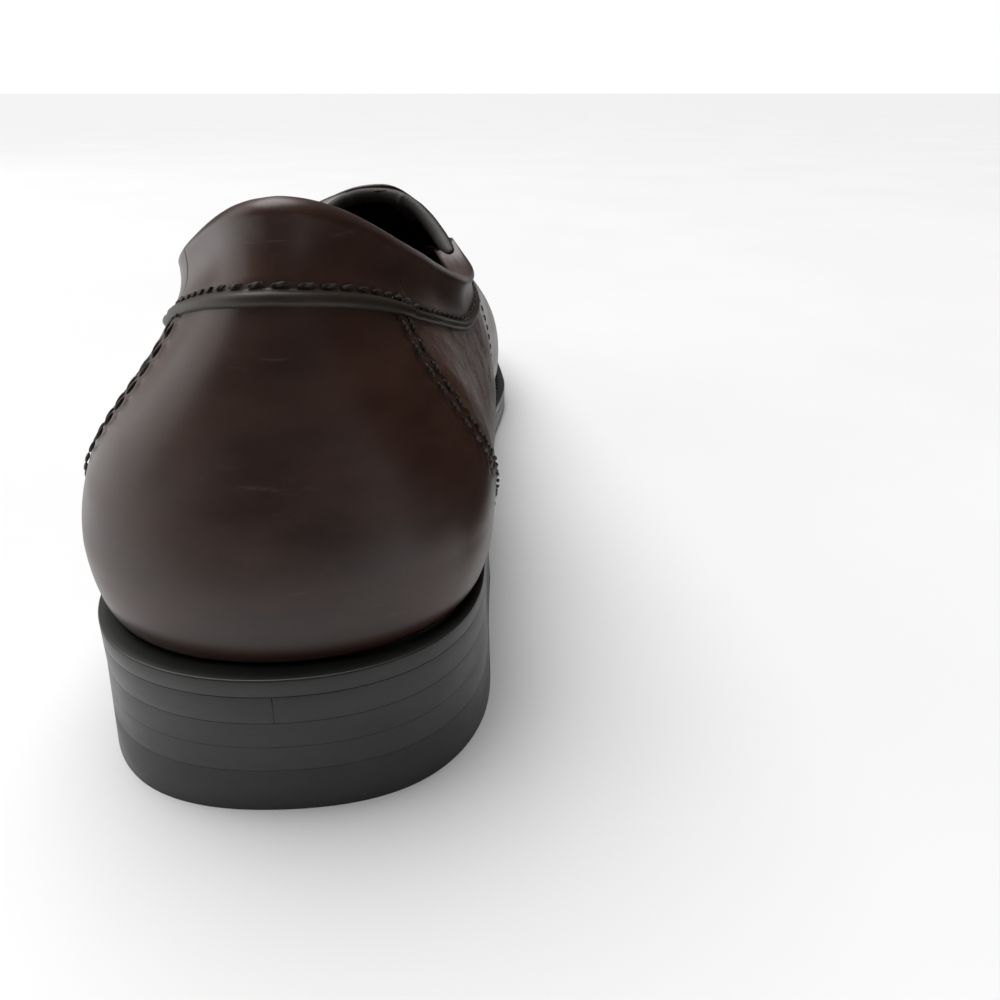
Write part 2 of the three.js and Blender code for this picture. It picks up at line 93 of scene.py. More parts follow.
last = {
    "lateralSide": curve([(0, 42.5), (45, 36.2), (90, 38.3), (135, 40), (170, 45), (205, 49),
                          (250, 48), (290, 45)]),
    "medialSide": curve([(0, 42.5), (45, 34.9), (90, 36.6), (135, 34.5), (170, 38.4), (205, 42.5),
                         (240, 42.5), (290, 39)]),
    "spine": curve([(0, 0), (40, 0), (115, -5), (180, -5), (240, -5), (290, -7)]),
    "topLean": curve([(0, -5.3), (15, -5.3), (40, -3.6), (70, -4.3), (118, -4.5), (180, -3),
                      (240, 0)]),
    "topHalfWidth": curve([(0, 14.3), (15, 14.3), (40, 18.7), (70, 23.6), (86, 23.2), (98, 20.5),
                           (108, 18.4), (116, 17.4)]),
    "featherHeight": curve([(0, 24.9), (72, 24.9), (95, 22), (130, 15.2), (165, 9.4), (188, 8.1),
                            (208, 8.1), (230, 9.3), (255, 12.2), (290, 17.6)]),
    "widestHeight": curve([(0, 36.9), (40, 36.9), (90, 35.5), (140, 28), (200, 19), (250, 21),
                           (290, 27)]),
    "topHeight": curve([(0, 93.1), (8, 92.3), (40, 80.6), (70, 70.5), (84, 69), (98, 71.8),
                        (108, 77.5), (117, 82.2), (150, 74.2), (200, 58), (225, 53), (250, 49),
                        (290, 45)]),
    "bellyRise": curve([(0, 0.44), (60, 0.44), (118, 0.42), (160, 0.45), (290, 0.5)]),
    "shoulderWidth": curve([(0, 0.12), (60, 0.12), (118, 0.42), (160, 0.55), (290, 0.6)]),
    "shoulderDrop": curve([(0, 0.43), (60, 0.43), (112, 0.02), (160, 0), (290, 0)]),
    "featherInset": 3.5,
    "toeEnd": 290, "toeSlope": 46, "toeStraight": 200, "toeSquareness": 2.1,
    "heelBackFoot": 4.1, "heelBackBelly": 2.8, "heelBackTop": 12.6,
    "heelCapFoot": 43.2, "heelCapTop": 33.7,
    "heelSquarenessFoot": 2.06, "heelSquarenessTop": 1.83,
    "mouthEnd": 116, "mouthRound": 30,
    "bellyLevel": 0.2, "heelStation": 0.2, "toeStation": 0.78,
}

cutting = {
    "collarLevel": curve([(0, 0.815), (0.12, 0.8), (0.26, 0.775), (0.46, 0.76)]),
    "vSeam": curve([(0, 0.25), (0.3, 0.185), (0.45, 0.155), (0.6, 0.142), (0.85, 0.136)]),
    "strapBack": curve([(0, 0.44), (0.4, 0.487), (0.75, 0.542), (0.93, 0.553), (1, 0.553)]),
    "apronLevel": curve([(0.5, 0.6), (0.7, 0.62), (0.85, 0.66), (1, 0.7)]),
    "strapBackRun": curve([(0, 109.7), (0.07, 111.8), (0.2, 115.7), (0.4, 121.1), (0.6, 128.5),
                           (0.75, 132.2), (0.85, 132.3), (0.93, 130.7), (1, 130)]),
    "strapFrontRun": curve([(0, 159.1), (0.2, 158.8), (0.4, 157.1), (0.6, 154.7), (0.75, 154.7),
                            (0.85, 156.8), (0.93, 157.4), (1, 157)]),
    "collarJoint": 0.1415, "collarEnd": 0.4345,
    "lateralLedge": curve([(0, 4.1), (0.07, 4.3), (0.12, 3.5), (0.2, 2.2), (0.35, 2), (0.5, 3.4),
                           (0.62, 5), (1, 5.5)]),
    "medialLedge": curve([(0, 4.1), (0.07, 3.8), (0.12, 2.7), (0.2, 1.5), (0.35, 1.6), (0.5, 3.4),
                          (0.62, 5), (1, 5.5)]),
    "insoleInset": curve([(0, 4.8), (0.1, 3.5), (0.2, 0.6), (1, 0.6)]),
    "sockInset": curve([(0, 5.4), (0.1, 5), (0.2, 2.8), (1, 2.8)]),
}


def mix(a, b, t):
    return a + (b - a) * t


def cubic(s, a, b, c, d):
    return a * (1 - s) ** 3 + 3 * b * s * (1 - s) ** 2 + 3 * c * s * s * (1 - s) + d * s ** 3


def folded(c):
    return np.where(c > 1, 2 - c, np.abs(c))


def runEnds(v, rise, tuck):
    # Back of this level, and where its straight run begins and ends.
    foot = np.minimum(v / last["bellyLevel"], 1) * math.pi / 2
    low = last["heelBackBelly"] + (last["heelBackFoot"] - last["heelBackBelly"]) * (1 - np.sin(foot))
    high = last["heelBackBelly"] + (last["heelBackTop"] - last["heelBackBelly"]) * rise ** 1.7
    back = np.where(v < last["bellyLevel"], low, high)
    start = mix(last["heelCapFoot"], last["heelCapTop"], rise) + back
    sweep = tuck + last["toeSlope"] * (1 - np.sqrt(1 - rise ** 2))
    return back, start, last["toeStraight"] - 0.55 * sweep


def upperPoint(c, v):
    c, v = np.broadcast_arrays(np.asarray(c, float), np.asarray(v, float))
    station = folded(c)
    lateral = (c >= 0) & (c <= 1)
    foot = np.minimum(v / last["bellyLevel"], 1) * math.pi / 2
    rise = np.clip((v - last["bellyLevel"]) / (1 - last["bellyLevel"]), 0, 1)
    tuck = last["featherInset"] * (1 - np.sin(foot))

    back, runStart, runEnd = runEnds(v, rise, tuck)
    toe = last["toeEnd"] - tuck - last["toeSlope"] * (1 - np.sqrt(1 - rise ** 2))
    heelPower = 2 / mix(last["heelSquarenessFoot"], last["heelSquarenessTop"], rise)
    toePower = 2 / last["toeSquareness"]

    heelTurn = np.clip(station / last["heelStation"], 0, 1) * math.pi / 2
    toeTurn = np.clip((1 - station) / (1 - last["toeStation"]), 0, 1) * math.pi / 2
    share = (station - last["heelStation"]) / (last["toeStation"] - last["heelStation"])
    inHeel = station < last["heelStation"]
    inToe = station > last["toeStation"]
    heelAlong = runStart - (runStart - back) * np.maximum(np.cos(heelTurn), 0) ** heelPower
    toeAlong = runEnd + (toe - runEnd) * np.maximum(np.cos(toeTurn), 0) ** toePower
    along = np.where(inHeel, heelAlong, np.where(inToe, toeAlong, mix(runStart, runEnd, share)))
    across = np.where(inHeel, np.sin(heelTurn) ** heelPower,
                      np.where(inToe, np.sin(toeTurn) ** toePower, 1.0))

    centre = last["spine"](along)
    wide = np.where(lateral, last["lateralSide"](along) - centre, last["medialSide"](along) + centre)
    opened = np.clip((last["mouthEnd"] - along) / last["mouthRound"], 0, 1)
    topWide = last["topHalfWidth"](along) * np.sqrt(1 - (1 - opened) ** 2)
    belly = last["widestHeight"](along)
    top = last["topHeight"](along)
    lowHeight = belly - (belly - last["featherHeight"](along)) * np.cos(foot)
    shoulder = topWide + last["shoulderWidth"](along) * (wide - topWide)
    highHeight = cubic(rise, belly, belly + last["bellyRise"](along) * (top - belly),
                       top - last["shoulderDrop"](along) * (top - belly), top)
    upperPart = v >= last["bellyLevel"]
    half = np.where(upperPart, cubic(rise, wide, wide, shoulder, topWide), wide - tuck)
    height = np.where(upperPart, highHeight, lowHeight)
    x = centre + last["topLean"](along) * rise + np.where(lateral, 1, -1) * half * across
    return np.stack([x, -along, height], -1)


def stationAt(along, v):
    # The station of the straight run that lies this far from the heel.
    rise = np.clip((v - last["bellyLevel"]) / (1 - last["bellyLevel"]), 0, 1)
    tuck = last["featherInset"] * (1 - np.sin(np.minimum(v / last["bellyLevel"], 1) * math.pi / 2))
    _, runStart, runEnd = runEnds(np.maximum(v, last["bellyLevel"]), rise, tuck)
    return mix(last["heelStation"], last["toeStation"], (along - runStart) / (runEnd - runStart))


def unit(vectors):
    return vectors / np.maximum(np.linalg.norm(vectors, axis=-1, keepdims=True), 1e-12)


def upperNormal(c, v):
    step = 0.002
    station = np.clip(c, -1 + step, 2 - step)
    level = np.clip(v, 0, 1 - step)
    along = upperPoint(station + step, level) - upperPoint(station - step, level)
    up = upperPoint(station, level + step) - upperPoint(station, level)
    return unit(np.cross(up, along))


def planPoint(c, push):
    step = 0.002
    c = np.asarray(c, float)
    station = np.clip(c, step, 2 - step)
    along = upperPoint(station + step, 0) - upperPoint(station - step, 0)
    out = unit(np.stack([-along[..., 1], along[..., 0], np.zeros_like(station)], -1))
    return upperPoint(c, 0) + out * np.asarray(push)[..., None]


# ---- meshes

def makePiece(name, points, faces, material, attributes=None, smooth=True):
    mesh = bpy.data.meshes.new(name)
    mesh.from_pydata(((points + shift) * mm).tolist(), [], faces)
    mesh.validate()
    for key, values in (attributes or {}).items():
        layer = mesh.attributes.new(key, "FLOAT", "POINT")
        layer.data.foreach_set("value", np.asarray(values, np.float32))
    mesh.shade_smooth() if smooth else mesh.shade_flat()
    mesh.materials.append(material)
    piece = bpy.data.objects.new(name, mesh)
    bpy.context.scene.collection.objects.link(piece)
    return piece


def finishPiece(piece, slot, *nodes, body="shoe"):
    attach(piece, body)
    if nodes:
        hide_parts(*nodes)
    return piece


def treeOf(points):
    tree = kdtree.KDTree(len(points))
    for i, point in enumerate(points):
        tree.insert(point, i)
    tree.balance()
    return tree


def nearest(tree, points):
    found = [tree.find(point) for point in points]
    return np.array([hit[1] for hit in found]), np.array([hit[2] for hit in found])


def spaced(count, length, roundness):
    ends = np.array([0, 0.08, 0.25, 0.55, 1.0, 1.7]) * roundness / length
    return np.concatenate([ends[:-1], np.linspace(ends[-1], 1 - ends[-1], count), 1 - ends[-2::-1]])


def seam(c, v, lift=0.0):
    # A line on the upper, with its outward directions and its length from the start.
    normals = upperNormal(c, v)
    points = upperPoint(c, v) + normals * lift
    steps = np.linalg.norm(np.diff(points, axis=0), axis=1)
    return {"points": points, "normals": normals, "run": np.concatenate([[0], np.cumsum(steps)])}


def groove(line, depth, width, pitch=0, pucker=0.0):
    # Leather pulled in along a stitched line, with small puckers between the stitches.
    tree = treeOf(line["points"])

    def at(points):
        index, distance = nearest(tree, points)
        wave = 0.0
        if pitch:
            wave = pucker * np.cos(2 * math.pi * line["run"][index] / pitch)
            wave = wave * np.exp(-((distance - width) / (1.6 * width)) ** 2)
        return -depth * np.exp(-(distance / width) ** 2) + wave
    return at


def panel(name, place, shape, material, relief=(), twinP=False, twinQ=False):
    # shape: columns, rows, outer offset, thickness, radius of the edges.
    # A twin place is one line of the grid met from both sides, such as the ridge or a slot.
    probe = np.linspace(0, 1, 60)
    lengths = []
    for path in (upperPoint(*place(probe, np.full(60, 0.3))), upperPoint(*place(np.full(60, 0.3), probe))):
        lengths.append(max(np.linalg.norm(np.diff(path, axis=0), axis=1).sum(), 4))
    p = spaced(shape["columns"], lengths[0], 2 * shape["edge"])
    if "extra" in shape:
        extra = shape["extra"]
        apart = np.abs(p[:, None] - extra[None, :]).min(1) > 0.006
        p = np.sort(np.concatenate([p[apart | (p < 0.02) | (p > 0.98)], extra]))
    q = spaced(shape["rows"], lengths[1], 2 * shape["edge"])
    tiny = 1e-7
    if twinP:
        p = np.concatenate([p[p < 0.5 - tiny], [0.5 - tiny, 0.5 + tiny], p[p > 0.5 + tiny]])
    if twinQ:
        q = np.concatenate([q[q < 0.5 - tiny], [0.5 - tiny, 0.5 + tiny], q[q > 0.5 + tiny]])
    gridP, gridQ = np.meshgrid(p, q)
    c, v = place(gridP.ravel(), gridQ.ravel())
    points = upperPoint(c, v)
    _, first, index = np.unique(np.round(points, 3), axis=0, return_index=True, return_inverse=True)
    index = index.reshape(-1)
    points = points[first]

    faces = []
    columns = len(p)
    for row in range(len(q) - 1):
        if twinQ and q[row + 1] - q[row] < 4 * tiny:
            continue
        for column in range(columns - 1):
            if twinP and p[column + 1] - p[column] < 4 * tiny:
                continue
            corner = row * columns + column
            ring = [index[i] for i in (corner, corner + columns, corner + columns + 1, corner + 1)]
            ring = [a for i, a in enumerate(ring) if a != ring[i - 1]]
            if len(ring) > 2:
                faces.append(ring)
    normals = skinNormals(points, faces)
    if "extra" in shape:
        # every point of the tongue faces up, also at the tight turn of the mouth
        normals[:, 2] = np.abs(normals[:, 2])
    return thickPiece(name, points, normals, faces, shape, material, relief)


def skinNormals(points, faces):
    # Outward direction at each point, averaged over the faces and then over the neighbours.
    corners = np.array([face if len(face) == 4 else [*face, face[0]] for face in faces])
    across = points[corners[:, 2]] - points[corners[:, 0]]
    beside = points[corners[:, 3]] - points[corners[:, 1]]
    flat = np.cross(across, beside)
    normals = np.zeros_like(points)
    for k in range(4):
        np.add.at(normals, corners[:, k], flat)
    normals = unit(normals)
    for _ in range(2):
        summed = normals.copy()
        for k in range(4):
            np.add.at(summed, corners[:, k], normals[corners[:, (k + 1) % 4]])
        normals = unit(summed)
    return normals


def thickPiece(name, points, normals, faces, shape, material, relief=()):
    open_ = set()
    for face in faces:
        for a, b in zip(face, face[1:] + face[:1]):
            if (b, a) in open_:
                open_.remove((b, a))
            else:
                open_.add((a, b))
    rim = sorted({a for pair in open_ for a in pair})
    _, distance = nearest(treeOf(points[rim]), points)
    radius = min(shape["edge"], shape["thickness"] * 0.46)
    inside = np.clip(radius - distance, 0, radius)
    drop = radius - np.sqrt(radius ** 2 - inside ** 2)
    raised = sum((part(points) for part in relief), np.zeros(len(points)))
    lift = shape["outer"] + raised - drop
    under = shape["outer"] - shape["thickness"] + drop
    outer = points + normals * lift[:, None]
    inner = points + normals * under[:, None]
    count = len(points)
    allFaces = list(faces) + [[a + count for a in face[::-1]] for face in faces]
    allFaces += [[a, a + count, b + count, b] for a, b in open_]
    edge = np.exp(-distance / 1.3)
    attributes = {"edge": np.concatenate([edge, edge]),
                  "skin": np.concatenate([np.ones(count), np.zeros(count)])}
    return makePiece(name, np.concatenate([outer, inner]), allFaces, material, attributes)


def loft(name, rings, material, attributes=None):
    # Rings of equal length, each a closed outline, joined one to the next and capped.
    rings = np.asarray(rings)
    count, size = rings.shape[:2]
    faces = []
    for i in range(count - 1):
        for j in range(size):
            a, b = i * size + j, i * size + (j + 1) % size
            faces.append([a, b, b + size, a + size])
    faces += [list(range(size))[::-1], list(range((count - 1) * size, count * size))]
    return makePiece(name, rings.reshape(-1, 3), faces, material, attributes)


# ---- shader groups

def newGroup(name, inputs, outputs):
    group = bpy.data.node_groups.new(name, "ShaderNodeTree")
    for label, kind, value in inputs:
        socket = group.interface.new_socket(label, in_out="INPUT", socket_type="NodeSocket" + kind)
        socket.default_value = value
    for label, kind in outputs:
        group.interface.new_socket(label, in_out="OUTPUT", socket_type="NodeSocket" + kind)
    return group


def addNode(tree, kind, values=None, **settings):
    node = tree.nodes.new(kind)
    for key, value in settings.items():
        setattr(node, key, value)
    for key, value in (values or {}).items():
        if isinstance(value, bpy.types.NodeSocket):
            tree.links.new(value, node.inputs[key])
        else:
            node.inputs[key].default_value = value
    return node


def ramp(tree, factor, low, high, start=0.0, end=1.0):
    return addNode(tree, "ShaderNodeMapRange", {0: factor, 1: low, 2: high, 3: start, 4: end}).outputs[0]


def sumOf(tree, operation, a, b):
    return addNode(tree, "ShaderNodeMath", {0: a, 1: b}, operation=operation).outputs[0]


def noiseAt(tree, place, scale, detail=3.0, stretch=None, roughness=0.5):
    if stretch:
        place = addNode(tree, "ShaderNodeMapping", {"Vector": place, "Scale": stretch}).outputs[0]
    values = {"Vector": place, "Scale": scale, "Detail": detail, "Roughness": roughness}
    return addNode(tree, "ShaderNodeTexNoise", values).outputs[0]


def makeGrain():
    group = newGroup("leatherGrain",
                     [("Scale", "Float", 1100.0), ("Pore", "Float", 0.4), ("Crease", "Float", 0.3)],
                     [("Height", "Float"), ("Cells", "Float")])
    start = addNode(group, "NodeGroupInput")
    end = addNode(group, "NodeGroupOutput")
    place = addNode(group, "ShaderNodeTexCoord").outputs["Object"]
    warp = addNode(group, "ShaderNodeTexNoise", {"Vector": place, "Scale": 260.0, "Detail": 2.0})
    bent = addNode(group, "ShaderNodeMixRGB", {0: 0.004, 1: place, 2: warp.outputs["Color"]},
                   blend_type="LINEAR_LIGHT").outputs[0]
    cells = addNode(group, "ShaderNodeTexVoronoi", {"Vector": bent, "Scale": start.outputs["Scale"]},
                    feature="DISTANCE_TO_EDGE").outputs[0]
    dome = ramp(group, cells, 0.0, 0.32)
    fine = noiseAt(group, place, 2600.0, 2.0)
    crease = noiseAt(group, place, 190.0, 4.0, (1.0, 0.35, 1.0), 0.65)
    pores = sumOf(group, "MULTIPLY", dome, start.outputs["Pore"])
    folds = sumOf(group, "MULTIPLY", crease, start.outputs["Crease"])
    height = sumOf(group, "ADD", sumOf(group, "ADD", pores, folds), sumOf(group, "MULTIPLY", fine, 0.12))
    group.links.new(height, end.inputs["Height"])
    group.links.new(dome, end.inputs["Cells"])
    return group


def makePatina():
    group = newGroup("handPatina", [("Scale", "Float", 22.0), ("Contrast", "Float", 1.0)],
                     [("Tone", "Float"), ("Cloud", "Float")])
    start = addNode(group, "NodeGroupInput")
    end = addNode(group, "NodeGroupOutput")
    place = addNode(group, "ShaderNodeTexCoord").outputs["Object"]
    broad = addNode(group, "ShaderNodeTexNoise",
                    {"Vector": place, "Scale": start.outputs["Scale"], "Detail": 3.0}).outputs[0]
    brushed = noiseAt(group, place, 60.0, 4.0, (1.0, 1.0, 2.6))
    tone = ramp(group, broad, 0.32, 0.68)
    cloud = ramp(group, brushed, 0.35, 0.7)
    group.links.new(sumOf(group, "MULTIPLY", tone, start.outputs["Contrast"]), end.inputs["Tone"])
    group.links.new(cloud, end.inputs["Cloud"])
    return group


def makeScuffs():
    # Fine scratches that run mostly level, kept to a few worn patches.
    group = newGroup("fineScuffs", [("Density", "Float", 0.5), ("Run", "Float", 14.0)],
                     [("Mask", "Float"), ("Patches", "Float")])
    start = addNode(group, "NodeGroupInput")
    end = addNode(group, "NodeGroupOutput")
    place = addNode(group, "ShaderNodeTexCoord").outputs["Object"]
    stretch = addNode(group, "ShaderNodeCombineXYZ", {0: 1.0, 1: 1.0, 2: start.outputs["Run"]}).outputs[0]
    drawn = addNode(group, "ShaderNodeVectorMath", {0: place, 1: stretch}, operation="MULTIPLY").outputs[0]
    streaks = noiseAt(group, drawn, 95.0, 5.0, None, 0.7)
    lines = ramp(group, streaks, 0.63, 0.7)
    patches = ramp(group, noiseAt(group, place, 48.0, 2.0), 0.45, 0.7)
    mask = sumOf(group, "MULTIPLY", lines, patches)
    group.links.new(sumOf(group, "MULTIPLY", mask, start.outputs["Density"]), end.inputs["Mask"])
    group.links.new(patches, end.inputs["Patches"])
    return group


grain, patina, scuffs = makeGrain(), makePatina(), makeScuffs()


def newMaterial(name, shader):
    material = bpy.data.materials.new(name)
    material.use_nodes = True
    tree = material.node_tree
    surface = tree.nodes["Principled BSDF"]
    for key, value in shader.items():
        surface.inputs[key].default_value = value
    return material, tree, surface


def useGroup(tree, group, **values):
    node = tree.nodes.new("ShaderNodeGroup")
    node.node_tree = group
    for key, value in values.items():
        node.inputs[key].default_value = value
    return node.outputs


def blendColour(tree, factor, a, b):
    return addNode(tree, "ShaderNodeMixRGB", {0: factor, 1: a, 2: b}).outputs[0]


def attributeOf(tree, name):
    return addNode(tree, "ShaderNodeAttribute", attribute_name=name).outputs["Fac"]


def bump(tree, surface, height, distance):
    normal = addNode(tree, "ShaderNodeBump",
                     {"Height": height, "Distance": distance, "Strength": 1.0}).outputs[0]
    tree.links.new(normal, surface.inputs["Normal"])


def leather(name, look):
    material, tree, surface = newMaterial(name, {
        "IOR": 1.5, "Coat Weight": look["coat"], "Coat Roughness": look["coatRoughness"]})
    skin = useGroup(tree, grain, Scale=look["scale"], Pore=look["pore"], Crease=look["crease"])
    hand = useGroup(tree, patina, Scale=look["patches"], Contrast=1.0)
    worn = useGroup(tree, scuffs, Density=look["scuffs"], Run=9.0)
    colour = blendColour(tree, hand["Tone"], look["dark"], look["mid"])
    deep = sumOf(tree, "MULTIPLY", hand["Cloud"], look["clouding"])
    colour = blendColour(tree, deep, colour, look["light"])
    pit = sumOf(tree, "MULTIPLY", ramp(tree, skin["Cells"], 0.0, 0.5, 1.0, 0.0), look["pitShade"])
    colour = blendColour(tree, pit, colour, look["pit"])
    rim = sumOf(tree, "MULTIPLY", attributeOf(tree, "edge"), look["edgeShade"])
    colour = blendColour(tree, rim, colour, look["edge"])
    # painted highlight: the rolled bead of the collar (fold mask) turns greyish brown as if catching the
    # light
    colour = blendColour(tree, attributeOf(tree, "fold"), colour, look["fold"])
    colour = blendColour(tree, worn["Mask"], colour, look["scuffColour"])
    tree.links.new(colour, surface.inputs["Base Color"])
    rough = ramp(tree, hand["Cloud"], 0.0, 1.0, look["rough"][0], look["rough"][1])
    rough = sumOf(tree, "ADD", rough, sumOf(tree, "MULTIPLY", worn["Mask"], 0.25))
    rough = sumOf(tree, "ADD", rough, sumOf(tree, "MULTIPLY", attributeOf(tree, "fold"), 0.2))
    tree.links.new(rough, surface.inputs["Roughness"])
    height = sumOf(tree, "SUBTRACT", skin["Height"], sumOf(tree, "MULTIPLY", worn["Mask"], 0.6))
    bump(tree, surface, height, look["depth"] * mm)
    return material


polished = {
    "dark": (0.021, 0.0072, 0.0042, 1), "mid": (0.043, 0.0150, 0.0080, 1),
    "light": (0.074, 0.028, 0.015, 1), "clouding": 0.55, "pit": (0.010, 0.004, 0.003, 1),
    "pitShade": 0.12, "edge": (0.012, 0.005, 0.004, 1), "edgeShade": 0.7,
    # fold: painted highlight colour of the collar's rolled bead
    "fold": (0.024, 0.014, 0.007, 1), "scuffColour": (0.16, 0.11, 0.09, 1), "scuffs": 0.35,
    "scale": 1500.0, "pore": 0.10, "crease": 0.25, "patches": 20.0, "rough": (0.36, 0.46),
    "coat": 0.25, "coatRoughness": 0.28, "depth": 0.05,
}
grained = dict(polished, dark=(0.050, 0.020, 0.012, 1), mid=(0.082, 0.034, 0.020, 1),
               light=(0.12, 0.055, 0.032, 1), clouding=0.6, pit=(0.022, 0.009, 0.006, 1),
               pitShade=0.55, scale=1050.0, pore=0.5, crease=0.5, patches=34.0,
               rough=(0.36, 0.5), coat=0.15, coatRoughness=0.3, scuffs=0.2, depth=0.09)
inner = dict(polished, dark=(0.013, 0.0095, 0.0075, 1), mid=(0.021, 0.015, 0.011, 1),
             light=(0.032, 0.023, 0.017, 1), clouding=0.5, pitShade=0.3,
             pit=(0.004, 0.003, 0.0025, 1), edge=(0.030, 0.020, 0.014, 1), edgeShade=0.4,
             scale=900.0, pore=0.35, crease=0.4, rough=(0.55, 0.72), coat=0.0,
             coatRoughness=0.4, scuffs=0.1, depth=0.08)


def soleMaterial(name, look):
    # Edge dye and wax over leather layers, or moulded rubber, with level scuffs and a painted highlight
    # along the rounded edges.
    material, tree, surface = newMaterial(name, {
        "IOR": 1.5, "Coat Weight": look["coat"], "Coat Roughness": 0.3})
    worn = useGroup(tree, scuffs, Density=look["scuffs"], Run=22.0)
    hand = useGroup(tree, patina, Scale=26.0, Contrast=1.0)
    place = addNode(tree, "ShaderNodeTexCoord").outputs["Object"]
    layers = noiseAt(tree, place, look["layerScale"], 4.0, (0.05, 0.05, 1.0), 0.7)
    speck = noiseAt(tree, place, 1500.0, 2.0)
    colour = blendColour(tree, hand["Tone"], look["dark"], look["light"])
    # painted highlight: the edge mask lightens the rounded edges towards the look's edge colour
    rim = sumOf(tree, "MULTIPLY", attributeOf(tree, "edge"), look["edgeShine"])
    colour = blendColour(tree, rim, colour, look["edge"])
    colour = blendColour(tree, worn["Mask"], colour, look["scuffColour"])
    tree.links.new(colour, surface.inputs["Base Color"])
    rough = ramp(tree, hand["Cloud"], 0.0, 1.0, look["rough"][0], look["rough"][1])
    rough = sumOf(tree, "ADD", rough, sumOf(tree, "MULTIPLY", worn["Mask"], 0.3))
    tree.links.new(rough, surface.inputs["Roughness"])
    height = sumOf(tree, "ADD", sumOf(tree, "MULTIPLY", layers, look["layerDepth"]),
                   sumOf(tree, "MULTIPLY", speck, 0.15))
    height = sumOf(tree, "SUBTRACT", height, sumOf(tree, "MULTIPLY", worn["Mask"], 0.8))
    bump(tree, surface, height, 0.08 * mm)
    return material


# edge: painted highlight colour for the rounded edges of the sole layers
edgeBlack = {"dark": (0.0055, 0.0062, 0.0050, 1), "light": (0.0090, 0.0098, 0.0080, 1),
             "edge": (0.05, 0.052, 0.045, 1), "edgeShine": 0.25, "scuffColour": (0.05, 0.048, 0.040, 1),
             "scuffs": 0.45, "layerScale": 900.0, "layerDepth": 0.45, "rough": (0.36, 0.48), "coat": 0.2}
soleLeather = dict(edgeBlack, dark=(0.010, 0.009, 0.008, 1), light=(0.020, 0.017, 0.014, 1),
                   rough=(0.5, 0.7), coat=0.0, scuffs=0.8)
rubberBlack = dict(edgeBlack, layerDepth=0.2, scuffs=0.6, rough=(0.42, 0.55), coat=0.1)


def plainMaterial(name, colourA, colourB, scale, rough, metallic=0.0, depth=0.05, stretch=None):
    material, tree, surface = newMaterial(name, {"Metallic": metallic})
    place = addNode(tree, "ShaderNodeTexCoord").outputs["Object"]
    blotch = noiseAt(tree, place, scale, 4.0, stretch, 0.6)
    tree.links.new(blendColour(tree, ramp(tree, blotch, 0.35, 0.65), colourA, colourB),
                   surface.inputs["Base Color"])
    tree.links.new(ramp(tree, blotch, 0.3, 0.7, rough[0], rough[1]), surface.inputs["Roughness"])
    bump(tree, surface, blotch, depth * mm)
    return material


def threadMaterial(name, dark, light):
    # Two plies seen as slanting bands along each stitch.
    material, tree, surface = newMaterial(name, {"Sheen Weight": 0.1, "IOR": 1.45})
    place = addNode(tree, "ShaderNodeTexCoord").outputs["Object"]
    slant = addNode(tree, "ShaderNodeMapping", {"Vector": place, "Rotation": (0.6, 0.5, 0.7)}).outputs[0]
    plies = addNode(tree, "ShaderNodeTexWave", {"Vector": slant, "Scale": 420.0, "Distortion": 0.6,
                                                "Detail": 1.0}).outputs["Fac"]
    fuzz = noiseAt(tree, place, 2200.0, 3.0)
    tree.links.new(blendColour(tree, plies, dark, light), surface.inputs["Base Color"])
    tree.links.new(ramp(tree, fuzz, 0.2, 0.8, 0.45, 0.7), surface.inputs["Roughness"])
    bump(tree, surface, sumOf(tree, "ADD", plies, sumOf(tree, "MULTIPLY", fuzz, 0.4)), 0.12 * mm)
    return material


counterLeather = leather("burnished burgundy calf", polished)
quarterLeather = leather("grained brown calf", grained)
liningLeather = leather("dark lining leather", inner)
heelEdge = soleMaterial("waxed heel edge", edgeBlack)
soleEdge = soleMaterial("dyed sole leather", soleLeather)
rubber = soleMaterial("top lift rubber", rubberBlack)
upperThread = threadMaterial("waxed brown thread", (0.012, 0.008, 0.006, 1), (0.06, 0.045, 0.034, 1))
weltThread = threadMaterial("waxed black thread", (0.008, 0.007, 0.006, 1), (0.035, 0.031, 0.026, 1))
print("materials made")


# ---- stitches

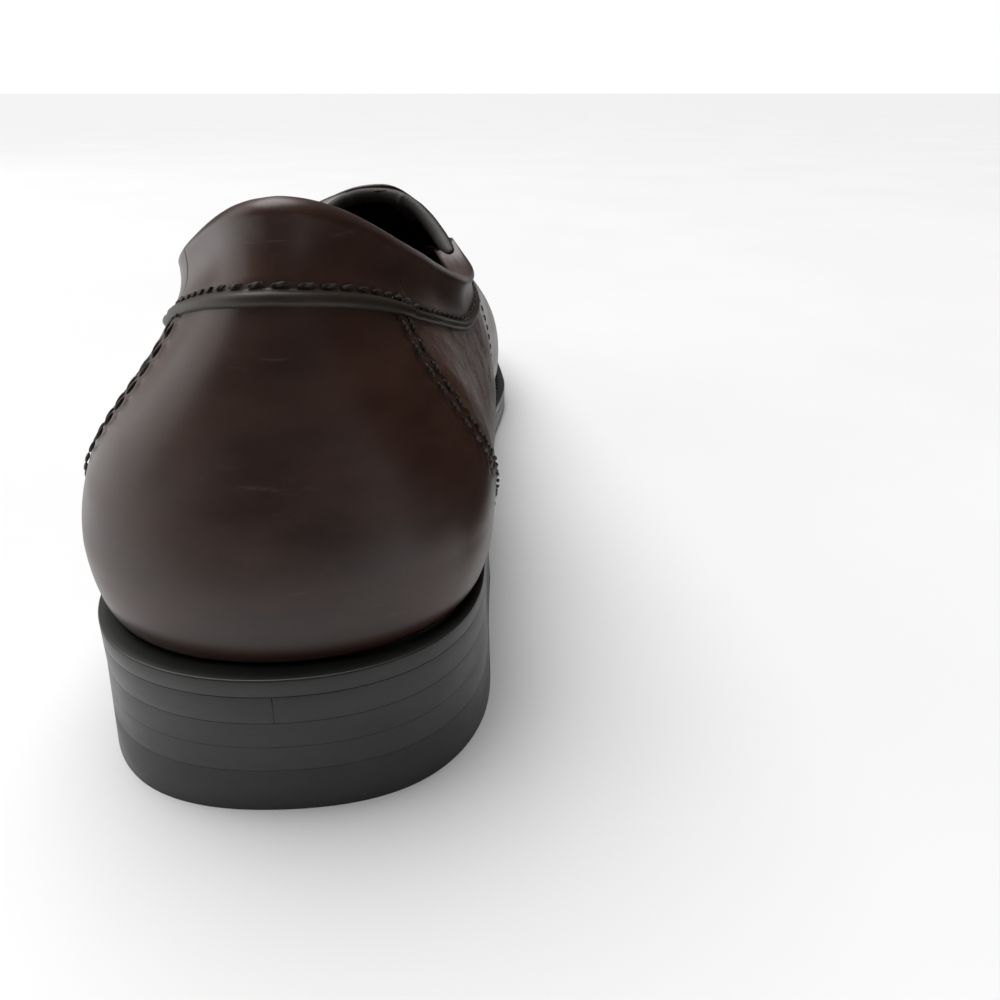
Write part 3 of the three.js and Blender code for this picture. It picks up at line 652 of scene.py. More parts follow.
def stitchTree():
    tree = bpy.data.node_groups.new("stitchRow", "GeometryNodeTree")
    sockets = {"Geometry": "Geometry", "Pitch": "Float", "Length": "Float", "Thread": "Float",
               "Turn": "Float", "Material": "Material"}
    for label, kind in sockets.items():
        tree.interface.new_socket(label, in_out="INPUT", socket_type="NodeSocket" + kind)
    tree.interface.new_socket("Geometry", in_out="OUTPUT", socket_type="NodeSocketGeometry")
    start = addNode(tree, "NodeGroupInput").outputs
    line = addNode(tree, "GeometryNodeMeshToCurve", {"Mesh": start["Geometry"]}).outputs[0]
    spots = addNode(tree, "GeometryNodeResampleCurve", {"Curve": line, "Length": start["Pitch"]},
                    mode="LENGTH").outputs[0]
    ball = addNode(tree, "GeometryNodeMeshUVSphere", {"Segments": 8, "Rings": 8, "Radius": 0.5}).outputs[0]
    size = addNode(tree, "ShaderNodeCombineXYZ", {0: start["Length"], 1: start["Thread"],
                                                  2: start["Thread"]}).outputs[0]
    stitch = addNode(tree, "GeometryNodeTransform", {"Geometry": ball, "Scale": size}).outputs[0]
    stitch = addNode(tree, "GeometryNodeSetShadeSmooth", {"Geometry": stitch}).outputs[0]
    tangent = addNode(tree, "GeometryNodeInputTangent").outputs[0]
    outward = addNode(tree, "GeometryNodeInputNamedAttribute", {"Name": "outward"},
                      data_type="FLOAT_VECTOR").outputs[0]
    turned = addNode(tree, "FunctionNodeAlignRotationToVector", {"Vector": tangent}, axis="X").outputs[0]
    turned = addNode(tree, "FunctionNodeAlignRotationToVector", {"Rotation": turned, "Vector": outward},
                     axis="Z", pivot_axis="X").outputs[0]
    lean = addNode(tree, "FunctionNodeAxisAngleToRotation",
                   {"Axis": (0.0, 0.0, 1.0), "Angle": start["Turn"]}).outputs[0]
    turned = addNode(tree, "FunctionNodeRotateRotation", {"Rotation": turned, "Rotate By": lean},
                     rotation_space="LOCAL").outputs[0]
    placed = addNode(tree, "GeometryNodeInstanceOnPoints",
                     {"Points": spots, "Instance": stitch, "Rotation": turned}).outputs[0]
    solid = addNode(tree, "GeometryNodeRealizeInstances", {"Geometry": placed}).outputs[0]
    named = addNode(tree, "GeometryNodeSetMaterial",
                    {"Geometry": solid, "Material": start["Material"]}).outputs[0]
    end = addNode(tree, "NodeGroupOutput")
    tree.links.new(named, end.inputs["Geometry"])
    return tree


stitchRow = stitchTree()


def stitches(name, lines, look, material, slot="grain_leather"):
    points, edges, normals = [], [], []
    for line in lines:
        first = len(points)
        points += ((line["points"] + shift) * mm).tolist()
        normals += line["normals"].tolist()
        edges += [(i, i + 1) for i in range(first, len(points) - 1)]
    mesh = bpy.data.meshes.new(name)
    mesh.from_pydata(points, edges, [])
    layer = mesh.attributes.new("outward", "FLOAT_VECTOR", "POINT")
    layer.data.foreach_set("vector", np.array(normals, np.float32).ravel())
    source = bpy.data.objects.new(name + "_line", mesh)
    bpy.context.scene.collection.objects.link(source)
    modifier = source.modifiers.new("stitchRow", "NODES")
    modifier.node_group = stitchRow
    values = {"Pitch": look["pitch"] * mm, "Length": look["length"] * mm, "Thread": look["thread"] * mm,
              "Turn": math.radians(look["turn"]), "Material": material}
    for item in stitchRow.interface.items_tree:
        if item.in_out == "INPUT" and item.name in values:
            modifier[item.identifier] = values[item.name]
    evaluated = source.evaluated_get(bpy.context.evaluated_depsgraph_get())
    made = bpy.data.meshes.new_from_object(evaluated)
    bpy.data.objects.remove(source)
    piece = bpy.data.objects.new(name, made)
    bpy.context.scene.collection.objects.link(piece)
    return finishPiece(piece, slot)


# ---- collar

collar = {"back": {"bead": 1.1, "beadProud": 0.05}, "front": {"bead": 0.85, "beadProud": 0.05},
          "skin": 1.1, "roll": 2.6, "rollFront": 2.1, "lip": 7.0, "lipThickness": 0.6,
          "puff": 1.1, "waist": 0.3, "stitchRise": 0.75}


def collarFrames(stations):
    # For each station: places up the band by distance from its lower edge.
    levels = np.linspace(0, 1, 120)
    low = cutting["collarLevel"](folded(stations))
    v = mix(low[:, None] - 0.05, 1.0, levels[None, :])
    c = np.repeat(stations[:, None], len(levels), 1)
    points, normals = upperPoint(c, v), upperNormal(c, v)
    run = np.concatenate([np.zeros((len(stations), 1)),
                          np.cumsum(np.linalg.norm(np.diff(points, axis=1), axis=2), 1)], 1)
    for i in range(len(stations)):
        run[i] -= np.interp(low[i], v[i], run[i])
    return points, normals, run


def collarProfile(length, bead, beadProud, roll):
    # (distance up the band, offset, fold) round the closed section of the folded leather; fold marks the
    # rolled bead, which gets a painted highlight colour.
    skin, lip = collar["skin"], collar["lipThickness"]
    section = []
    for angle in np.radians(np.linspace(-150, 70, 12)):
        section.append((bead - 0.35 + bead * math.sin(angle), beadProud + bead * math.cos(angle) - 0.1, 1))
    top = 2 * bead - 0.3
    section += [(top + 0.3, -0.12, 0.5), (top + 0.7, -0.02, 0.15), (top + 1.2, 0.04, 0)]
    face = length - roll
    for share in np.linspace(0.1, 1, 14):
        puff = collar["puff"] * share ** 2 - collar["waist"] * math.sin(math.pi * share)
        section.append((mix(top + 1.2, face, share), puff * roll / collar["roll"], 0))
    proud = collar["puff"] * roll / collar["roll"]
    for angle in np.radians(np.linspace(12, 168, 13)):
        out = mix(-2 * roll, proud, 0.5 + 0.5 * math.cos(angle))
        section.append((face + roll * math.sin(angle), out, 0))
    for share in np.linspace(0, 1, 8):
        section.append((face - share * collar["lip"], -2 * roll, 0))
    section.append((face - collar["lip"] - 0.25, -2 * roll + lip / 2, 0))
    section.append((face - collar["lip"], -2 * roll + lip, 0))
    section.append((face, -2 * roll + lip, 0))
    for angle in np.radians(np.linspace(168, 12, 7)):
        section.append((face + (roll - lip) * math.sin(angle), (roll - lip) * math.cos(angle) - roll, 0))
    for share in np.linspace(1, 0, 6):
        section.append((mix(1.2, face, share), -skin, 0))
    return section


def collarPiece(name, stations, part, node, reverse=False):
    points, normals, run = collarFrames(stations)
    rollAt = curve([(0, collar["roll"]), (0.33, collar["roll"]), (0.434, collar["rollFront"])])
    rings, folds = [], []
    for i, c in enumerate(stations):
        total = run[i, -1]
        roll = float(rollAt(folded(c)))
        section = np.array(collarProfile(total, part["bead"], part["beadProud"], roll))
        inset = 0.0
        if i in (0, len(stations) - 1):
            inset = 0.1
        at = np.stack([np.interp(section[:, 0], run[i], points[i, :, k]) for k in range(3)], -1)
        n = unit(np.stack([np.interp(section[:, 0], run[i], normals[i, :, k]) for k in range(3)], -1))
        rings.append(at + n * (section[:, 1:2] - inset))
        folds.append(section[:, 2])
    rings = rings[::-1] if reverse else rings
    rings = [ring[::-1] for ring in rings]
    folds = [fold[::-1] for fold in folds]
    size = len(rings[0])
    edge = np.zeros((len(rings), size))
    edge[0], edge[-1] = 0.4, 0.4
    # fold: mask of the rolled bead, for its painted highlight colour (and more roughness)
    attributes = {"fold": np.concatenate(folds), "edge": edge.ravel()}
    piece = loft(name, rings, counterLeather, attributes)
    return finishPiece(piece, "heel_leather", node)


def endsSpaced(start, end, count):
    nearEnd = np.array([0, 0.002, 0.006, 0.02])
    share = np.concatenate([nearEnd[:-1], np.linspace(0.02, 0.98, count), 1 - nearEnd[-2::-1]])
    return mix(start, end, share)


def makeCollar():
    joint, front = cutting["collarJoint"], cutting["collarEnd"]
    collarPiece("collar_back_leather", endsSpaced(-joint, joint, 150), collar["back"], "collar_back")
    collarPiece("collar_lateral_leather", endsSpaced(joint, front, 110), collar["front"], "collar_lateral")
    collarPiece("collar_medial_leather", endsSpaced(-joint, -front, 110), collar["front"], "collar_medial",
                reverse=True)
    rows = []
    for start, end, part in ((-joint, joint, collar["back"]), (joint, front, collar["front"]),
                             (-joint, -front, collar["front"])):
        points, normals, run = collarFrames(np.linspace(start, end, 260))
        rise = 2 * part["bead"] - 0.3 + collar["stitchRise"]

        def risen(grid):
            return np.array([[np.interp(rise, run[i], grid[i, :, k]) for k in range(3)]
                             for i in range(len(run))])
        n = unit(risen(normals))
        rows.append({"points": risen(points) + n * 0.1, "normals": n})
    look = {"pitch": 3.4, "length": 2.7, "thread": 0.68, "turn": 9}
    stitches("collar_stitching", rows, look, upperThread)
    print("collar made")


makeCollar()


# ---- counter and quarters

vSeamRows = {"inset": 1.3, "pitch": 3.6, "length": 2.9, "thread": 0.62, "turn": 9, "apart": 3.0}


def vSeamLine(side, inset):
    v = np.linspace(0.01, 0.835, 700)
    c = side * cutting["vSeam"](v)
    middle = seam(c, v)
    along = unit(np.gradient(middle["points"], axis=0))
    across = np.cross(middle["normals"], along) * -side
    step = upperPoint(c - side * 0.002, v) - middle["points"]
    sign = np.sign((across * step).sum(1, keepdims=True))
    points = middle["points"] + across * sign * inset
    run = np.concatenate([[0], np.cumsum(np.linalg.norm(np.diff(points, axis=0), axis=1))])
    return {"points": points, "normals": middle["normals"], "run": run}


def makeCounter():
    rows = []
    for side in (1, -1):
        for k in range(2):
            rows.append(vSeamLine(side, vSeamRows["inset"] + k * vSeamRows["apart"]))
    relief = [groove(row, 0.34, 0.85, vSeamRows["pitch"], 0.10) for row in rows]
    edges = [vSeamLine(side, 0.0) for side in (1, -1)]
    trees = [treeOf(line["points"]) for line in edges]

    def overlap(points):
        # the counter's front edges lie on the quarters
        distance = np.minimum(nearest(trees[0], points)[1], nearest(trees[1], points)[1])
        return 0.35 * np.exp(-(distance / 4.5) ** 2)

    def place(p, q):
        side = mix(-1, 1, p)
        v = q * (cutting["collarLevel"](np.abs(side) * 0.14) + 0.016)
        return side * cutting["vSeam"](v), v
    shape = {"columns": 300, "rows": 120, "outer": 0.0, "thickness": 1.5, "edge": 0.55}
    piece = panel("counter_leather", place, shape, counterLeather, relief + [overlap])
    finishPiece(piece, "heel_leather", "back_counter")
    lifted = [dict(row, points=row["points"] + row["normals"] * 0.26) for row in rows]
    lifted = [{key: value[20:] for key, value in row.items()} for row in lifted]
    stitches("counter_stitching", lifted, vSeamRows, upperThread)
    print("counter made")


def creaseRelief(amount, size):
    def at(points):
        return np.array([noise.fractal(Vector(point) / size, 0.8, 2.1, 4) for point in points]) * amount
    return at


def makeQuarters():
    for side, name in ((1, "lateral"), (-1, "medial")):
        def place(p, q, side=side):
            guess = q * 0.77
            turned = p if side > 0 else 1 - p
            c = mix(cutting["vSeam"](guess) - 0.012, cutting["strapBack"](guess) + 0.03, turned)
            v = q * (cutting["collarLevel"](c) + 0.014)
            return (c if side > 0 else 2 - c), v
        shape = {"columns": 170, "rows": 110, "outer": -0.05, "thickness": 1.4, "edge": 0.4}
        piece = panel(f"quarter_{name}_leather", place, shape, quarterLeather, [creaseRelief(0.14, 7.0)])
        finishPiece(piece, "grain_leather", f"quarter_{name}")
    print("quarters made")


makeCounter()
makeQuarters()


# ---- forepart: tongue, strap, vamp and apron

forepart = {"strapThickness": 1.6, "strapProud": 1.75, "slotLength": 17.0, "slotWidth": 4.4,
            "mocRidge": 1.25, "edgeDepth": 1.7, "edgeWidth": 1.35}


def makeTongue():
    def place(p, q):
        side = 2 * q - 1
        v = mix(1, 0.775, np.abs(side))
        first = -upperPoint(cutting["collarEnd"] + 0.001, v)[..., 1]
        c = stationAt(mix(first, cutting["strapBackRun"](v) + 6, p), v)
        return np.where(side > 0, 2 - c, c), v
    # more columns where the mouth closes round the front
    first = -upperPoint(cutting["collarEnd"] + 0.001, 1.0)[1]
    turn = np.radians(np.linspace(0, 56, 24))
    mouth = last["mouthEnd"] - last["mouthRound"] * (1 - np.cos(turn))
    extra = (mouth - first) / (cutting["strapBackRun"](1.0) + 6 - first)
    shape = {"columns": 60, "rows": 90, "outer": -0.1, "thickness": 1.4, "edge": 0.6, "extra": extra}
    leatherSide = panel("tongue_leather", place, shape, counterLeather, [creaseRelief(0.1, 9.0)],
                        twinQ=True)
    liningShape = dict(shape, columns=50, rows=70, outer=-1.75, thickness=0.9, edge=0.4)
    liningSide = panel("tongue_lining_leather", place, liningShape, liningLeather, twinQ=True)
    for piece, slot, node in ((leatherSide, "grain_leather", "tongue"),
                              (liningSide, "lining_leather", "tongue_lining")):
        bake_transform(piece)
        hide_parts(node)
    makeTongueEdge()
    print("tongue made")


def makeTongueEdge():
    # The leather folded over the tongue's free edge, round the front of the mouth.
    turn = np.concatenate([np.linspace(-90, -8, 60), np.linspace(-6, 6, 9), np.linspace(8, 90, 60)])
    first = -upperPoint(cutting["collarEnd"] - 0.012, 1.0)[1]
    reach = math.degrees(math.acos(1 - (last["mouthEnd"] - first) / last["mouthRound"]))
    turn = np.radians(turn * reach / 90)
    along = last["mouthEnd"] - last["mouthRound"] * (1 - np.cos(turn))
    c = stationAt(along, 1.0)
    c = np.where(turn > 0, 2 - c, c)
    path = upperPoint(c, 1.0)
    normals = upperNormal(c, np.full(len(c), 0.985))
    kernel = np.exp(-np.linspace(-2, 2, 13) ** 2)
    padded = np.pad(normals, ((6, 6), (0, 0)), "edge")
    normals = unit(np.stack([np.convolve(padded[:, k], kernel, "valid") for k in range(3)], -1))
    tangent = unit(np.gradient(path, axis=0))
    normals = unit(normals - tangent * (normals * tangent).sum(1, keepdims=True))
    side = np.cross(tangent, normals)
    run = np.concatenate([[0], np.cumsum(np.linalg.norm(np.diff(path, axis=0), axis=1))])
    thin = np.clip(np.minimum(run, run[-1] - run) / 7, 0, 1)[:, None]
    thin = 0.3 + 0.7 * np.sqrt(1 - (1 - thin) ** 2)
    rings = []
    for angle in np.radians(np.arange(0, 360, 18)):
        deep, wide = forepart["edgeDepth"] * math.cos(angle), forepart["edgeWidth"] * math.sin(angle)
        centre = path - normals * (forepart["edgeDepth"] - 0.25)
        rings.append(centre + (normals * deep + side * wide) * thin)
    rings = np.stack(rings, 1)
    piece = loft("tongue_edge_fold", rings, liningLeather)
    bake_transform(piece)


def strapEdge(run, inset):
    q = np.linspace(0, 1, 900)
    side = 2 * q - 1
    v = mix(1, 0.075, np.abs(side))
    c = stationAt(run(v) + inset, v)
    c = np.where(side > 0, 2 - c, c)
    keep = np.abs(side) > 1e-4
    return seam(c[keep], v[keep], forepart["strapProud"] - 0.05)


def makeStrap():
    slotReach = forepart["slotLength"] / 2
    backRun, frontRun = cutting["strapBackRun"], cutting["strapFrontRun"]
    middle = (backRun(1.0) + frontRun(1.0)) / 2
    strapLength = frontRun(1.0) - backRun(1.0)

    def place(p, q):
        side = 2 * q - 1
        v = mix(1, 0.06, np.abs(side) ** 1.25)
        reach = np.abs(upperPoint(stationAt(middle, v), v)[..., 0] - last["spine"](middle)
                       - last["topLean"](middle))
        lens = np.clip(1 - (reach / slotReach) ** 2, 0, 1) * forepart["slotWidth"] / 2 / strapLength
        away = np.abs(p - 0.5)
        opened = 0.5 + np.sign(p - 0.5) * (lens + away * (0.5 - lens) / 0.5)
        opened = np.where(v > 0.7, opened, p)
        c = stationAt(mix(backRun(v), frontRun(v), opened), v)
        return np.where(side > 0, 2 - c, c), v
    lines = [strapEdge(backRun, 3.1), strapEdge(frontRun, -3.1)]
    relief = [groove(line, 0.3, 0.7, 3.0, 0.06) for line in lines]
    shape = {"columns": 60, "rows": 260, "outer": forepart["strapProud"],
             "thickness": forepart["strapThickness"], "edge": 0.6}
    piece = panel("strap_leather", place, shape, counterLeather, relief + [creaseRelief(0.12, 12.0)],
                  twinP=True, twinQ=True)
    finishPiece(piece, "heel_leather", "saddle_strap")
    stitches("strap_stitching", lines, {"pitch": 3.0, "length": 2.3, "thread": 0.7, "turn": 8}, upperThread)
    print("strap made")


def makeForepart():
    start = 0.036
    c = np.linspace(0.585, 1.415, 1500)
    apronSeam = seam(c, cutting["apronLevel"](folded(c)))
    tree = treeOf(apronSeam["points"])

    def ridge(amount, width, pucker):
        def at(points):
            index, distance = nearest(tree, points)
            wave = 0.5 + 0.5 * np.cos(2 * math.pi * apronSeam["run"][index] / 4.2)
            raised = amount * np.exp(-(distance / width) ** 2)
            return raised - pucker * wave * np.exp(-((distance - 2.2) / 2.0) ** 2)
        return at

    def around(p, v):
        first = cutting["strapBack"](v) + start
        return mix(first, 2 - first, p)

    def vampPlace(p, q):
        at = around(p, q * 0.62)
        return at, q * (cutting["apronLevel"](folded(at)) - 0.0015)

    def apronPlace(p, q):
        at = around(p, mix(0.62, 1, q))
        return at, mix(cutting["apronLevel"](folded(at)) + 0.0015, 1, q)
    shape = {"columns": 380, "rows": 90, "outer": 0.0, "thickness": 1.5, "edge": 0.65}
    piece = panel("vamp_leather", vampPlace, shape, counterLeather,
                  [ridge(forepart["mocRidge"], 1.3, 0.28), creaseRelief(0.1, 14.0)])
    finishPiece(piece, "heel_leather", "vamp")
    shape = dict(shape, columns=380, rows=60)
    piece = panel("apron_leather", apronPlace, shape, counterLeather,
                  [ridge(forepart["mocRidge"] * 0.75, 1.2, 0.1), creaseRelief(0.1, 14.0)])
    finishPiece(piece, "heel_leather", "apron")
    line = dict(apronSeam, points=apronSeam["points"] + apronSeam["normals"] * 0.85)
    look = {"pitch": 4.2, "length": 3.2, "thread": 0.95, "turn": 78}
    stitches("apron_stitching", [line], look, upperThread)
    print("forepart made")


makeTongue()
makeStrap()
makeForepart()


# ---- linings

def makeLinings():
    top = 0.965

    def lining(name, node, place, columns, rows):
        shape = {"columns": columns, "rows": rows, "outer": -3.3, "thickness": 0.9, "edge": 0.35}
        piece = panel(name, place, shape, liningLeather, [creaseRelief(0.1, 10.0)])
        finishPiece(piece, "lining_leather", node)
    lining("heel_lining_leather", "heel_lining",
           lambda p, q: (mix(-0.15, 0.15, p), mix(0.04, top, q)), 90, 60)
    upperEdge = curve([(0.15, top), (0.4, top), (0.45, 0.74), (0.56, 0.7)])

    def sidePlace(side):
        def place(p, q):
            c = mix(0.1515, 0.555, p if side > 0 else 1 - p)
            return (c if side > 0 else 2 - c), mix(0.04, upperEdge(c), q)
        return place
    lining("quarter_lining_lateral_leather", "quarter_lining_lateral", sidePlace(1), 90, 60)
    lining("quarter_lining_medial_leather", "quarter_lining_medial", sidePlace(-1), 90, 60)
    lining("vamp_lining_leather", "vamp_lining",
           lambda p, q: (mix(0.56, 1.44, p), mix(0.04, 1, q)), 140, 60)
    print("linings made")


makeLinings()


# ---- sole

sole = {"gap": 0.3, "welt": 3.0, "outsole": 4.5, "insole": 2.5, "sock": 1.0, "weltInset": 6.0,
        "shorten": 0.00002, "edge": 0.45, "heelFront": 0.29}


def ledgeAt(c):
    c = (np.asarray(c, float) + 2) % 2
    return np.where(c > 1, cutting["medialLedge"](2 - c), cutting["lateralLedge"](c))


def atHeight(points, offset):
    height = last["featherHeight"](-points[..., 1]) + offset
    return np.stack([points[..., 0], points[..., 1], height], -1)


def edgeRadius(c, heelRadius, forepartRadius):
    share = np.clip((folded(c) - sole["heelFront"]) / 0.05, 0, 1)
    return mix(heelRadius, forepartRadius, share)


def roundedEdge(c, push, bottom, top, under, over):
    # Points down one rounded edge of a sole layer, for every station at once.
    points = []
    for turn in np.radians([90, 60, 30, 1, -1, -30, -60, -90]):
        radius = over if turn > 0 else under
        out = push(c) - radius * (1 - math.cos(turn))
        middle = top - radius if turn > 0 else bottom + radius
        points.append(atHeight(planPoint(c, out), middle + radius * math.sin(turn)))
    return points


def plate(name, push, bottom, top, material, radii):
    # Plate across the sole whose faces follow the feather edge.
    count = 200
    c = mix(sole["shorten"], 1 - sole["shorten"], 0.5 - 0.5 * np.cos(np.linspace(0, math.pi, count)))
    shares = (0.5 - 0.5 * np.cos(np.linspace(0, math.pi, 14)))[1:-1]
    radius = edgeRadius(c, *radii)
    lateral = roundedEdge(c, push, bottom, top, radius, radius)
    medial = roundedEdge(2 - c, push, bottom, top, radius, radius)
    inward = planPoint(c, push(c) - radius), planPoint(2 - c, push(2 - c) - radius)
    upper = [atHeight(mix(inward[1], inward[0], share), top) for share in shares]
    lower = [atHeight(mix(inward[0], inward[1], share), bottom) for share in shares]
    rings = np.stack(lateral + lower + medial[::-1] + upper, 1)
    # the rounded edge rings carry the edge mask, which paints a lighter highlight along them
    edge = np.concatenate([np.full(len(lateral), 0.3), np.zeros(len(lower))] * 2)
    return loft(name, rings, material, attributes={"edge": np.tile(edge, count)})


def rim(name, start, end, bottom, top, over, node, count):
    c = (np.linspace(start, end, count) + 2) % 2
    under = edgeRadius(c, 0.06, over)
    edge = roundedEdge(c, ledgeAt, bottom, top, under, over)
    inset = np.full(count, -sole["weltInset"])
    inner = [atHeight(planPoint(c, inset), height) for height in (bottom, top)]
    across = [atHeight(planPoint(c, mix(-sole["weltInset"], ledgeAt(c) - over, share)), top)
              for share in (0.4, 0.6, 0.75, 0.88)]
    rings = np.stack(edge + inner + across, 1)
    # painted highlight along the rounded top edge of the welt and heel rand
    shine = np.array([1, 1, 0.8, 0.4, 0, 0, 0, 0, 0, 0, 0, 0, 0, 0.2])
    piece = loft(name, rings, heelEdge, attributes={"edge": np.tile(shine, count)})
    return finishPiece(piece, "sole_leather", node)


def makeSole():
    weltTop = -sole["gap"]
    weltBottom = weltTop - sole["welt"]
    soleTop = weltBottom - 0.04
    soleBottom = weltBottom - sole["gap"] - sole["outsole"]
    front = sole["heelFront"]
    rim("heel_rand_strip", -front, front, weltBottom, weltTop, 0.3, "heel_rand", 180)
    rim("welt_strip", front, 2 - front, weltBottom, weltTop, 0.5, "welt", 420)
    outsole = plate("outsole_leather", ledgeAt, soleBottom, soleTop, heelEdge, (0.06, 0.45))
    outsole.data.materials.append(soleEdge)
    for face in outsole.data.polygons:
        face.material_index = 1 if face.normal.z < -0.8 else 0
    finishPiece(outsole, "sole_leather", "outsole")
    insole = plate("insole_board", lambda c: -cutting["insoleInset"](folded(c)), 0, sole["insole"],
                   liningLeather, (0.3, 0.3))
    finishPiece(insole, "insole_board", "insole")
    sockBottom = sole["insole"] + 0.3
    sock = plate("sock_leather", lambda c: -cutting["sockInset"](folded(c)), sockBottom,
                 sockBottom + sole["sock"], liningLeather, (0.35, 0.35))
    finishPiece(sock, "lining_leather", "sock_lining")
    stations = np.linspace(front + 0.012, 2 - front - 0.012, 1500)
    points = atHeight(planPoint(stations, ledgeAt(stations) * 0.55), weltTop + 0.05)
    line = {"points": points, "normals": np.tile([0.0, 0.0, 1.0], (len(points), 1))}
    stitches("welt_stitching", [line], {"pitch": 3.6, "length": 2.9, "thread": 0.95, "turn": 6}, weltThread,
             "sole_leather")
    print("sole made")


makeSole()


# ---- heel

heel = {"flare": 0.9, "flareStation": 0.07, "breast": 74, "hollow": 4, "topLift": 7.6,
        "lifts": 2, "seam": 0.006, "bevel": 0.035}

heelSeat = float(last["featherHeight"](0)) - sole["welt"] - sole["outsole"] - 2 * sole["gap"]


def heelOutline(push, height):
    stations = np.linspace(-0.31, 0.31, 221)
    spread = np.clip(np.abs(stations) / heel["flareStation"], 0, 1)
    flare = heel["flare"] * (1 - height / heelSeat) * spread * spread * (3 - 2 * spread)
    edge = planPoint((stations + 2) % 2, ledgeAt(stations) + push + flare)
    edge = edge[-edge[:, 1] <= heel["breast"] + push]
    first, end = edge[0], edge[-1]
    share = np.linspace(0, 1, 41)[1:-1, None]
    bend = np.array([(first[0] + end[0]) / 2, first[1] + 2 * heel["hollow"] - push, 0])
    face = end * (1 - share) ** 2 + 2 * bend * share * (1 - share) + first * share ** 2
    return np.concatenate([edge, face])[:, :2]


def resampled(outline, count):
    closed = np.concatenate([outline, outline[:1]])
    run = np.concatenate([[0], np.cumsum(np.linalg.norm(np.diff(closed, axis=0), axis=1))])
    at = np.linspace(0, run[-1], count, endpoint=False)
    return np.stack([np.interp(at, run, closed[:, k]) for k in range(2)], -1)


def heelLayer(name, bottom, top, material, slot, node):
    bevel = heel["bevel"]
    levels = [(bottom, -bevel), (bottom + bevel * 0.3, -bevel * 0.3), (bottom + bevel, 0),
              (bottom + 3 * bevel, 0), (mix(bottom, top, 0.5), 0), (top - 3 * bevel, 0),
              (top - bevel, 0), (top - bevel * 0.3, -bevel * 0.3), (top, -bevel)]
    rings = []
    for height, push in levels:
        outline = resampled(heelOutline(push, height), 300)
        rings.append(np.column_stack([outline, np.full(300, height)]))
    piece = loft(name, rings, material)
    return finishPiece(piece, slot, node)


def makeHeel():
    heelLayer("top_lift_block", 0.0, heel["topLift"] + 0.2, rubber, "top_rubber", "top_lift")
    start = heel["topLift"] + 0.2 + heel["seam"]
    pitch = (heelSeat - start) / heel["lifts"]
    for i in range(heel["lifts"]):
        bottom = start + i * pitch
        heelLayer(f"heel_lift_layer_{i + 1}", bottom, bottom + pitch - heel["seam"], heelEdge, "heel_stack",
                  f"heel_lift_{i + 1}")
    print("heel made")


makeHeel()


# ---- pieces inside the shoe keep their own solids

def dressInside():
    board = plainMaterial("pressed fibreboard", (0.20, 0.13, 0.075, 1), (0.32, 0.22, 0.13, 1),
                          420.0, (0.75, 0.9))
    cork = plainMaterial("ground cork", (0.14, 0.07, 0.03, 1), (0.42, 0.26, 0.13, 1),
                         650.0, (0.85, 0.95), depth=0.2)
    steel = plainMaterial("spring steel", (0.42, 0.43, 0.45, 1), (0.56, 0.57, 0.58, 1),
                          300.0, (0.28, 0.42), 1.0, 0.01, (1.0, 0.05, 1.0))
    brass = plainMaterial("nail brass", (0.48, 0.33, 0.12, 1), (0.66, 0.48, 0.20, 1),
                          400.0, (0.3, 0.45), 1.0, 0.01)
    foam = plainMaterial("topline tape", (0.030, 0.022, 0.017, 1), (0.05, 0.037, 0.028, 1),
                         700.0, (0.85, 0.95))
    inside = {"counter_stiffener": board, "toe_puff": board, "seat_filler": board, "cork_filler": cork,
              "shank": steel, "topline_padding": foam}
    inside.update({f"heel_nail_{i}": brass for i in range(1, 6)})
    for node, material in inside.items():
        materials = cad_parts[node].data.materials
        materials.clear()
        materials.append(material)


dressInside()


# ---- floor, light and camera

studio = {"floorSize": 60.0, "roomLight": 0.08, "skyPower": 3.3, "skySpread": 60, "skyTilt": 14,
          "camera": (-32.2, 256.6, 103.5), "lens": 32.4, "tilt": 24.49, "turn": 2.57,
          "cards": {"side_card": [(-78, -35, 0), (-78, -210, 0), (-78, -210, 88), (-78, -35, 88)],
                    "back_card": [(-260, 70, 1), (260, 70, 1), (1500, 3000, 1), (-1500, 3000, 1)],
                    "far_card": [(-110, 40, 0), (-110, -300, 0), (-110, -300, 110), (-110, 40, 110)]}}


def addLight(name, place, aim, size, power):
    data = bpy.data.lights.new(name, "AREA")
    data.shape = "RECTANGLE"
    data.size, data.size_y = size
    data.energy = power
    lamp = bpy.data.objects.new(name, data)
    lamp.location = place
    lamp.rotation_euler = (Vector(aim) - Vector(place)).to_track_quat("-Z", "Y").to_euler()
    bpy.context.scene.collection.objects.link(lamp)


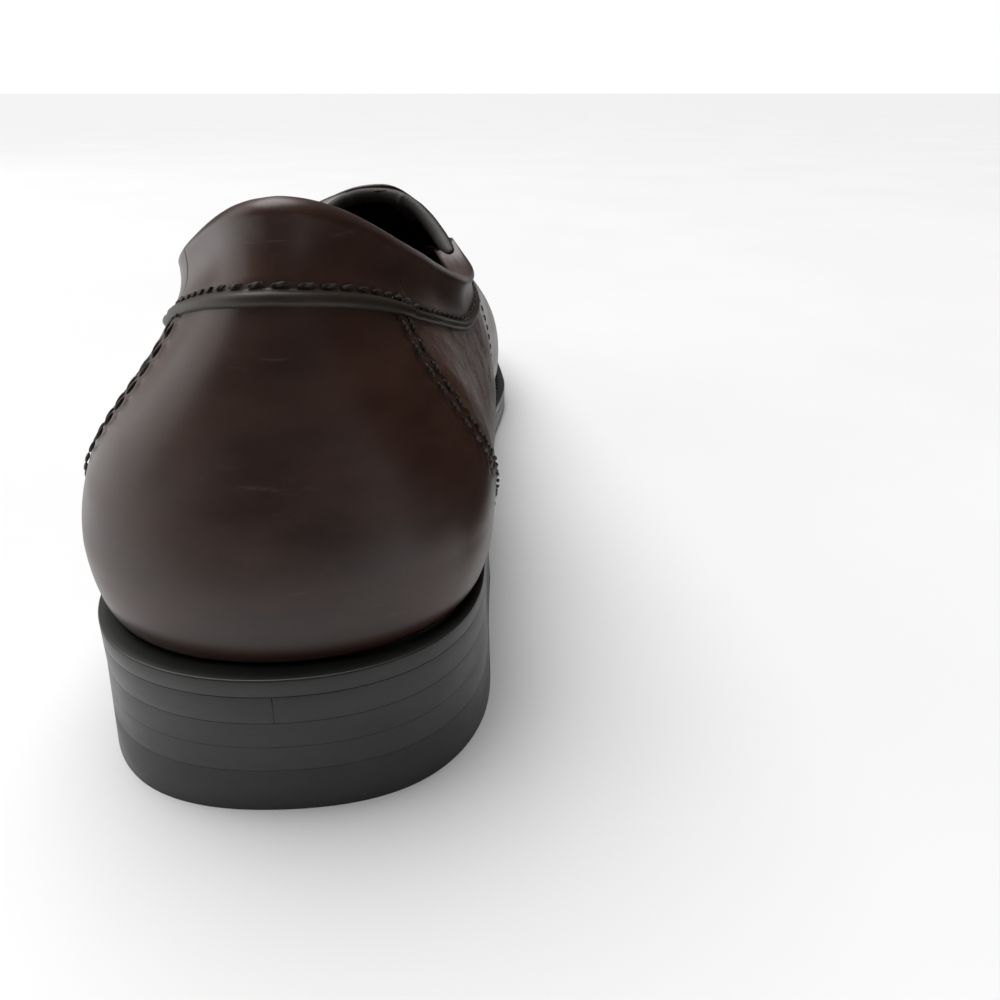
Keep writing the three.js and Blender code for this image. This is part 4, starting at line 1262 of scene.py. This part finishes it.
def makeStudio():
    size = studio["floorSize"] / mm / 2
    corners = np.array([(-size, -size, -0.02), (size, -size, -0.02),
                        (size, size, -0.02), (-size, size, -0.02)])
    paper = plainMaterial("white paper sweep", (0.86, 0.86, 0.86, 1), (0.88, 0.88, 0.88, 1),
                          6.0, (0.7, 0.75), depth=0.01)
    floor = makePiece("studio_floor", corners, [[0, 1, 2, 3]], paper, smooth=False)
    world = bpy.data.worlds.new("studio")
    bpy.context.scene.world = world
    world.use_nodes = True
    tree = world.node_tree
    ray = addNode(tree, "ShaderNodeLightPath").outputs["Is Camera Ray"]
    strength = ramp(tree, ray, 0.0, 1.0, studio["roomLight"], 1.0)
    tree.links.new(strength, tree.nodes["Background"].inputs["Strength"])
    tree.nodes["Background"].inputs["Color"].default_value = (1, 1, 1, 1)
    sun = bpy.data.lights.new("overheadSky", "SUN")
    sun.energy = studio["skyPower"]
    sun.angle = math.radians(studio["skySpread"])
    lamp = bpy.data.objects.new("overheadSky", sun)
    lamp.rotation_euler = (math.radians(studio["skyTilt"]), math.radians(12), 0)
    bpy.context.scene.collection.objects.link(lamp)
    addLight("outerPanel", (1.3, -0.25, 0.55), (0, 0.05, 0.05), (1.4, 1.0), 4.2)
    # dark cards beside and behind the shoe, seen only in its polish
    black = plainMaterial("matt black card", (0.012, 0.008, 0.007, 1), (0.016, 0.011, 0.009, 1),
                          8.0, (0.8, 0.9))
    for name, corners in studio["cards"].items():
        card = makePiece(name, np.array(corners), [[0, 1, 2, 3]], black, smooth=False)
        card.visible_camera = False
        card.visible_shadow = False
        card.visible_diffuse = False
    bpy.context.scene.view_settings.view_transform = "Standard"

    data = bpy.data.cameras.new("camera")
    data.lens = studio["lens"]
    data.sensor_width = 36.0
    data.clip_start = 0.01
    camera = bpy.data.objects.new("camera", data)
    camera.location = Vector(studio["camera"]) * mm
    camera.rotation_euler = (math.radians(90 - studio["tilt"]), 0, math.radians(180 - studio["turn"]))
    bpy.context.scene.collection.objects.link(camera)
    bpy.context.scene.camera = camera


makeStudio()
print("studio made")
